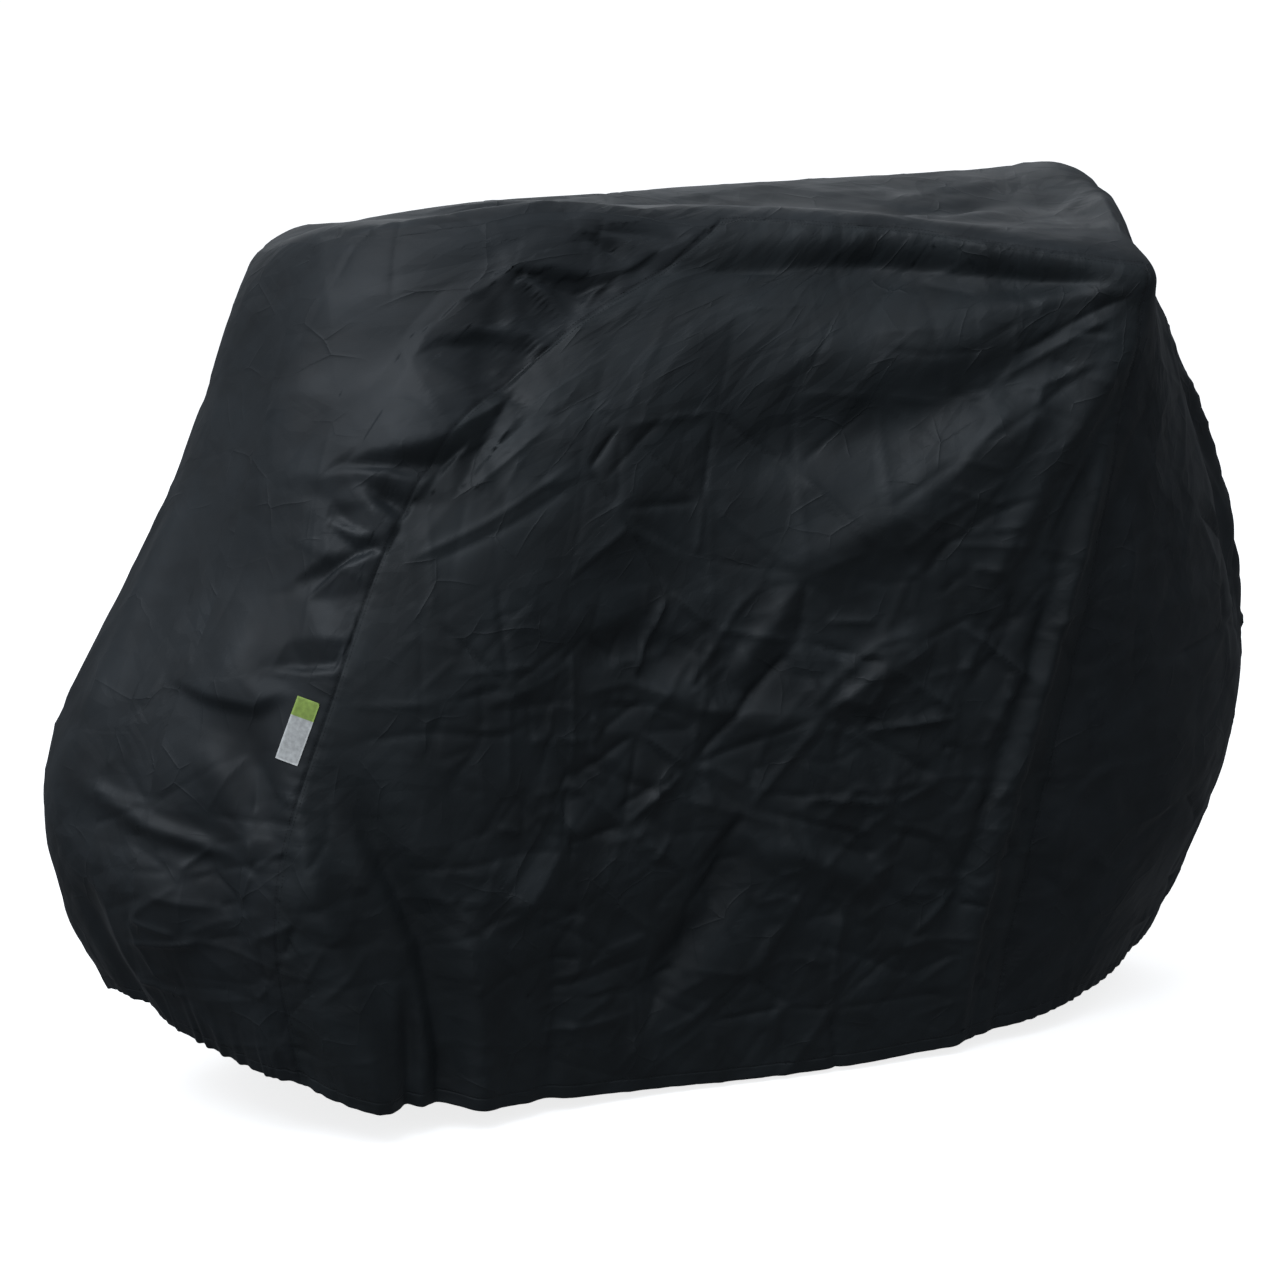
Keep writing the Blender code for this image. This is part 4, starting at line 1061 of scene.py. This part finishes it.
def cloth_piece(skin, normals, panel, name, material):
    """One panel of the skin, with its hem turned up inside."""
    number = PANELS.index(panel)
    corners = np.flatnonzero(skin.corner_panels == number)
    used = np.unique(skin.corner_points[corners])
    own = np.full(len(skin.points), -1)
    own[used] = np.arange(len(used))
    points = list(skin.points[used])
    faces = [tuple(own[list(skin.faces[face])]) for face in np.flatnonzero(skin.panel == number)]
    by_seam = np.stack([skin.seam_passed, np.minimum(skin.seam_away, SEAM_UV_END)], axis=1)
    cloth, seam = list(skin.cloth_uvs[corners]), list(by_seam[skin.corner_points[corners]])
    rows = {}
    for corner in corners[skin.on_rim[skin.corner_edges[corners]]]:
        start = skin.corner_points[corner]
        end = next(point for point in skin.edges[skin.corner_edges[corner]] if point != start)
        for point in (start, end):
            if point not in rows:
                place, normal = skin.points[point], normals[point]
                down = down_the_cloth(normal)
                rows[point] = [own[point]] + list(range(len(points), len(points) + len(HEM_TURN)))
                points += [place + down * drop - normal * inside for drop, inside in HEM_TURN]
        for k in range(len(HEM_TURN)):
            faces.append((rows[end][k], rows[start][k], rows[start][k + 1], rows[end][k + 1]))
            for point, row in ((end, k), (start, k), (start, k + 1), (end, k + 1)):
                cloth.append(skin.point_uvs[point] - np.array([0, HEM_UV_STEP * row]))
                seam.append(by_seam[point])
    piece = add_piece(name, points, faces, {"cloth": cloth, "seam": seam}, material)
    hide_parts(panel)
    return piece


def stitches(tree, path, name, material):
    """A row of stitches along a path: small ridged bars that lie on the cloth."""
    path = np.array(path)
    passed = run_up(np.linalg.norm(np.diff(path, axis=0), axis=1))
    points, faces = [], []
    for start in np.arange(STITCH_PITCH, passed[-1] - STITCH_PITCH, STITCH_PITCH):
        at = start + STITCH_LENGTH * np.array(STITCH_RINGS)
        places = places_along(at, passed, path)
        touched = [tree.find_nearest(place)[:2] for place in places]
        onward = (touched[-1][0] - touched[0][0]).normalized()
        first = len(points)
        for (place, normal), rise in zip(touched, STITCH_RISES):
            aside = onward.cross(normal).normalized() * STITCH_WIDTH / 2
            base = place - normal * STITCH_HEIGHT / 2
            points += [base - aside, place + normal * STITCH_HEIGHT * rise, base + aside]
        for ring in range(len(STITCH_RINGS) - 1):
            for k in range(3):
                low, after = first + 3 * ring + k, first + 3 * ring + (k + 1) % 3
                faces.append((low, low + 3, after + 3, after))
    return add_piece(name, points, faces, {}, material)


def beside(skin, normals, run, panel, aside):
    """The path that runs beside a run of points, that far into the panel."""
    number = PANELS.index(panel)
    middle = skin.points[np.unique(skin.corner_points[skin.corner_panels == number])].mean(axis=0)
    along_run = skin.points[run]
    onward = np.gradient(along_run, axis=0)
    across = np.cross(onward, normals[run])
    across /= np.linalg.norm(across, axis=1)[:, None]
    if np.sum((middle - along_run) * across) < 0:
        across = -across
    return along_run + aside * across


def seam_label(tree, material):
    """Adds the tab, a folded tape: its right edge is caught in the seam, and its left edge stands off."""
    x, z = LABEL_MIDDLE[0] - ORIGIN[0], LABEL_MIDDLE[1] - ORIGIN[2]
    middle, facing = tree.ray_cast(Vector((x, -1.0, z)), Vector((0, 1, 0)))[:2]
    facing = (facing + Vector((0, -LABEL_TURN, 0))).normalized()
    up = Matrix.Rotation(np.radians(LABEL_LEAN), 3, "Y") @ Vector((0, 0, 1))
    up = (up - up.dot(facing) * facing).normalized()
    side = up.cross(facing)
    columns, rows = np.linspace(-0.5, 0.5, LABEL_GRID[0]), np.linspace(-0.5, 0.5, LABEL_GRID[1])
    points, uvs, faces, corner_uvs = [], [], [], []
    for layer in (0, 1):
        for row in rows:
            for column in columns:
                flat = middle + side * column * LABEL_SIZE[0] + up * row * LABEL_SIZE[1]
                touched = tree.ray_cast(flat + facing * LABEL_CLEAR, -facing)[0]
                free = 0.5 - column
                lift = LABEL_LIFT[0] + LABEL_LIFT[1] * free**2
                lift += LABEL_CURL * free * np.sin(CURL_TURNS * row + CURL_START)
                thinned = (1 - (2 * abs(row)) ** LABEL_ENDS) * (1 - (2 * abs(column)) ** LABEL_SIDES)
                points.append(touched + facing * (lift + LABEL_THICK * layer * thinned))
                uvs.append((column * LABEL_SIZE[0], row * LABEL_SIZE[1]))
    across, size = len(columns), len(columns) * len(rows)
    for row in range(len(rows) - 1):
        for column in range(across - 1):
            low = row * across + column
            back = (low, low + across, low + across + 1, low + 1)
            faces += [back, tuple(size + number for number in reversed(back))]
    rim = list(range(across)) + [row * across + across - 1 for row in range(1, len(rows))]
    rim += [(len(rows) - 1) * across + column for column in reversed(range(across - 1))]
    rim += [row * across for row in reversed(range(1, len(rows) - 1))]
    for first, second in zip(rim, rim[1:] + rim[:1]):
        faces.append((first, second, size + second, size + first))
    for face in faces:
        corner_uvs += [uvs[number] for number in face]
    piece = add_piece("seam_tab", points, faces, {"cloth": corner_uvs}, material)
    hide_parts("seam_label")


# ---------------------------------------------------------------- finishes
class Nodes:
    """Adds nodes to a material or to the sky, and links them; each method gives a socket to read."""

    def __init__(self, tree):
        self.tree = tree

    def fill(self, node, inputs):
        """Gives a node its inputs, which are sockets or plain values."""
        for name, value in inputs.items():
            if isinstance(value, bpy.types.NodeSocket):
                self.tree.links.new(value, node.inputs[name])
            else:
                node.inputs[name].default_value = value

    def add(self, kind, inputs, output=0, **settings):
        """A node with these inputs and settings."""
        node = self.tree.nodes.new("ShaderNode" + kind)
        for name, value in settings.items():
            setattr(node, name, value)
        self.fill(node, inputs)
        return node.outputs[output]

    def joined(self, operation, values):
        """The values, joined from the first to the last by that operation."""
        total = values[0]
        for value in values[1:]:
            total = self.add("Math", {0: total, 1: value}, operation=operation)
        return total

    def sum_of(self, *terms):
        """The sum of the terms."""
        return self.joined("ADD", terms)

    def product(self, *factors):
        """The product of the factors."""
        return self.joined("MULTIPLY", factors)

    def uvs(self, layer):
        """The coordinates of a UV layer, and how far up it they are."""
        place = self.add("UVMap", {}, uv_map=layer)
        return place, self.add("SeparateXYZ", {"Vector": place}, output=1)

    def stretched(self, vector, scale, turn=(0, 0, 0)):
        """The coordinates, turned and stretched."""
        return self.add("Mapping", {"Vector": vector, "Rotation": turn, "Scale": scale})

    def noise(self, vector, scale, detail, low=0.0, high=1.0, dimensions="2D"):
        """Cloudy noise, spread between two values."""
        inputs = {"Vector": vector, "Scale": scale, "Detail": detail}
        cloud = self.add("TexNoise", inputs, noise_dimensions=dimensions)
        return self.add("MapRange", {"Value": cloud, 1: 0.3, 2: 0.7, 3: low, 4: high}, clamp=True)

    def cells(self, vector, scale, **settings):
        """How far each place is from the middle of its cell in a net, or from the cell's edge."""
        inputs = {"Vector": vector, "Scale": scale}
        return self.add("TexVoronoi", inputs, voronoi_dimensions="2D", **settings)

    def fading(self, distance, reach):
        """1 where the distance is nothing, and dying away over the reach."""
        return self.add("Math", {0: self.product(distance, -1.0 / reach)}, operation="EXPONENT")

    def band(self, value, middle, width):
        """1 where the value is at the middle, and falling to 0 either side like a bell."""
        apart = self.product(self.add("Math", {0: value, 1: middle}, operation="SUBTRACT"), 1 / width)
        return self.add("Math", {0: self.product(apart, apart, -1.0)}, operation="EXPONENT")

    def bump(self, height):
        """The normal of a surface with that height."""
        return self.add("Bump", {"Strength": 1.0, "Distance": 1.0, "Height": height})

    def mixed(self, share, first, second):
        """A colour between two."""
        inputs = {0: share, 6: (*first, 1), 7: (*second, 1)}
        return self.add("Mix", inputs, output=2, data_type="RGBA")

    def uneven(self, share, colour, tones):
        """A colour that varies between two tones of it."""
        return self.mixed(share, *[[tone * part for part in colour] for tone in tones])


def new_finish(name, colour):
    """A new material, its nodes, and its shader."""
    material = bpy.data.materials.new(name)
    material.use_nodes = True
    material.diffuse_color = (*colour, 1.0)
    return material, Nodes(material.node_tree), material.node_tree.nodes["Principled BSDF"]


def crumpled_height(nodes, cloth):
    """The height of crumples too fine for the mesh: facets in two sizes, and short creases."""
    inputs = {"Vector": cloth, "Scale": WARPS, "Detail": 1.0}
    warped = nodes.add("TexNoise", inputs, output=1, noise_dimensions="2D")
    shift = nodes.add("VectorMath", {0: warped, "Scale": WARP}, operation="SCALE")
    bent = nodes.add("VectorMath", {0: cloth, 1: shift}, operation="ADD")
    spread = nodes.noise(cloth, CRUMPLE_PATCHES, 1.0, CRUMPLE_LEAST, CRUMPLE_MOST)
    parts = []
    for number, (scale, slope) in enumerate(FACETS):
        turned = nodes.stretched(bent, (1, 1, 1), (0, 0, 0.5 + number))
        cone = nodes.cells(turned, scale, feature="F1", distance="CHEBYCHEV")
        parts.append(nodes.product(cone, spread, slope / scale))
    scale, width, height = CREASE_NET
    edge = nodes.cells(bent, scale, feature="DISTANCE_TO_EDGE")
    some = nodes.add("Math", {0: nodes.noise(cloth, scale, 0.0, *CREASE_KEPT), 1: 0.0}, operation="MAXIMUM")
    parts.append(nodes.product(nodes.fading(edge, width * scale), some, height))
    return nodes.sum_of(*parts)


def cloth_finish(name, colour):
    """Thin coated taffeta: crumples, seam ripples and yarns in its bump, and an uneven gloss."""
    material, nodes, shader = new_finish(name, colour)
    seam, away = nodes.uvs("seam")
    cloth, above = nodes.uvs("cloth")
    ripples = nodes.noise(nodes.stretched(seam, RIPPLES), 1.0, 1.0, -0.5, 0.5)
    yarns = nodes.noise(nodes.stretched(cloth, YARNS), 1.0, 0.0)
    height = nodes.sum_of(
        crumpled_height(nodes, cloth),
        nodes.product(ripples, nodes.fading(away, RIPPLE_FADE), SEAM_RIPPLE),
        nodes.product(nodes.band(above, HEM_ROW, HEM_GROOVE_WIDTH), -HEM_GROOVE),
        nodes.product(yarns, YARN),
    )
    nodes.fill(shader, {
        "Base Color": nodes.uneven(nodes.noise(cloth, WORN_PATCHES, 3.0), colour, CLOTH_TONES),
        "Roughness": nodes.noise(cloth, GLOSS_PATCHES, 2.0, GLOSS_FROM, GLOSS_TO),
        "Normal": nodes.bump(height),
        "Specular IOR Level": 0.5, "Sheen Weight": 0.05, "Sheen Roughness": 0.4,
    })
    return material


def tape_finish():
    """Pale woven tape with a green end: fine ribs across it, and faint yarns."""
    material, nodes, shader = new_finish("label_tape", TAPE_PALE)
    flat, up = nodes.uvs("cloth")
    blur = {1: TAPE_GREEN_FROM - TAPE_GREEN_BLUR, 2: TAPE_GREEN_FROM + TAPE_GREEN_BLUR}
    green = nodes.add("MapRange", {"Value": up, **blur, 3: 0.0, 4: 1.0}, clamp=True)
    tone = nodes.mixed(green, TAPE_PALE, TAPE_GREEN)
    worn = nodes.noise(flat, TAPE_WORN, 3.0, *TAPE_WORN_TONES)
    pattern = {"Vector": flat, "Scale": TAPE_RIBS, "Distortion": 0.6}
    ribs = nodes.add("TexWave", pattern, bands_direction="Y")
    yarns = nodes.noise(nodes.stretched(flat, TAPE_YARNS), 1.0, 1.0)
    nodes.fill(shader, {
        "Base Color": nodes.add("VectorMath", {0: tone, "Scale": worn}, operation="SCALE"),
        "Normal": nodes.bump(nodes.sum_of(nodes.product(ribs, TAPE_RIB), nodes.product(yarns, TAPE_YARN))),
        "Roughness": 0.75, "Sheen Weight": 0.1,
    })
    return material


def thread_finish():
    """Dark sewing thread, twisted."""
    material, nodes, shader = new_finish("thread", THREAD_COLOUR)
    place = nodes.add("TexCoord", {}, output=3)
    worn = nodes.noise(place, THREAD_WORN, 2.0, dimensions="3D")
    nodes.fill(shader, {
        "Base Color": nodes.uneven(worn, THREAD_COLOUR, THREAD_TONES),
        "Normal": nodes.bump(nodes.noise(place, TWISTS, 1.0, 0.0, TWIST_DEPTH, "3D")),
        "Roughness": 0.6,
    })
    return material


# ---------------------------------------------------------------- the stage
def aim(item, place, towards):
    """Puts a light or a camera at a place, and turns it that way."""
    item.location = place
    item.rotation_mode = "QUATERNION"
    item.rotation_quaternion = towards.to_track_quat("-Z", "Y")


def add_stage():
    """A pale floor, a soft sky that is brightest at the upper left, and two soft panels."""
    bpy.ops.mesh.primitive_plane_add(size=FLOOR_SIZE, location=(0, 0, FLOOR_LEVEL))
    floor = bpy.context.object
    floor.name = "floor"
    material, nodes, shader = new_finish("floor", FLOOR_COLOUR)
    pale = nodes.noise(nodes.add("TexCoord", {}, output=3), 3.0, 3.0, *FLOOR_PALE)
    glow = {"Emission Color": (1, 1, 1, 1), "Emission Strength": FLOOR_GLOW}
    nodes.fill(shader, {"Base Color": pale, "Roughness": 0.9, **glow})
    floor.data.materials.append(material)
    floor.visible_diffuse = floor.visible_glossy = False
    world = bpy.data.worlds.new("soft light")
    bpy.context.scene.world = world
    world.use_nodes = True
    nodes = Nodes(world.node_tree)
    towards = nodes.add("TexCoord", {}, output=0)
    up = nodes.add("VectorMath", {0: towards, 1: SKY_MIDDLE}, output=1, operation="DOT_PRODUCT")
    limits = {"Value": up, 1: SKY_FROM, 2: SKY_TO, 3: SKY_DARK, 4: SKY_BRIGHT}
    bright = nodes.add("MapRange", limits, interpolation_type="SMOOTHSTEP")
    nodes.fill(world.node_tree.nodes["Background"], {"Color": SKY_TINT, "Strength": bright})
    for name, (power, place, colour) in SOFT_PANELS.items():
        light = bpy.data.lights.new(name, "AREA")
        light.shape = "SQUARE"
        light.size, light.energy, light.color = PANEL_SIZE, power, colour
        aim(new_object(name, light), place, Vector(PANEL_AIM) - Vector(place))


def add_camera():
    """The camera, turned as far round the cover and as high above it as the picture shows."""
    azimuth, elevation = np.radians(VIEW_AZIMUTH), np.radians(VIEW_ELEVATION)
    level = np.cos(elevation)
    back = Vector((np.sin(azimuth) * level, -np.cos(azimuth) * level, np.sin(elevation)))
    camera = bpy.data.cameras.new("camera")
    camera.lens, camera.sensor_width, camera.sensor_fit = LENS, SENSOR, "HORIZONTAL"
    viewer = new_object("camera", camera)
    aim(viewer, Vector(VIEW_TARGET) + back * VIEW_DISTANCE, -back)
    bpy.context.scene.camera = viewer


def main():
    """Builds the dressed cover."""
    bpy.context.scene.view_settings.view_transform = "Standard"
    add_camera()
    add_stage()
    skin = Skin(build_skin())
    skin.relax(*EVENED_BEFORE)
    skin.measure_seams()
    shape_skin(skin)
    skin.relax(*EVENED_AFTER)
    normals = skin.normals()
    side = cloth_finish("side_cloth", SIDE_COLOUR)
    gusset = cloth_finish("gusset_cloth", GUSSET_COLOUR)
    near = cloth_piece(skin, normals, "side_panel_near", "near_side_cloth", side)
    far = cloth_piece(skin, normals, "side_panel_far", "far_side_cloth", side)
    long = cloth_piece(skin, normals, "gusset", "gusset_cloth", gusset)
    tree = BVHTree.FromPolygons([tuple(point) for point in skin.points], skin.faces)
    seam_label(tree, tape_finish())
    thread = thread_finish()
    for panel, run in skin.seams.items():
        for name, aside in (("inside", STITCH_ASIDE), ("outside", -STITCH_ASIDE)):
            path = beside(skin, normals, run, panel, aside)
            stitches(tree, path, f"{panel}_stitches_{name}", thread)
    hem = skin.hem + skin.hem[:1]
    raised = skin.points[hem] - HEM_ROW * np.array([down_the_cloth(normal) for normal in normals[hem]])
    stitches(tree, raised, "hem_stitches", thread)


main()
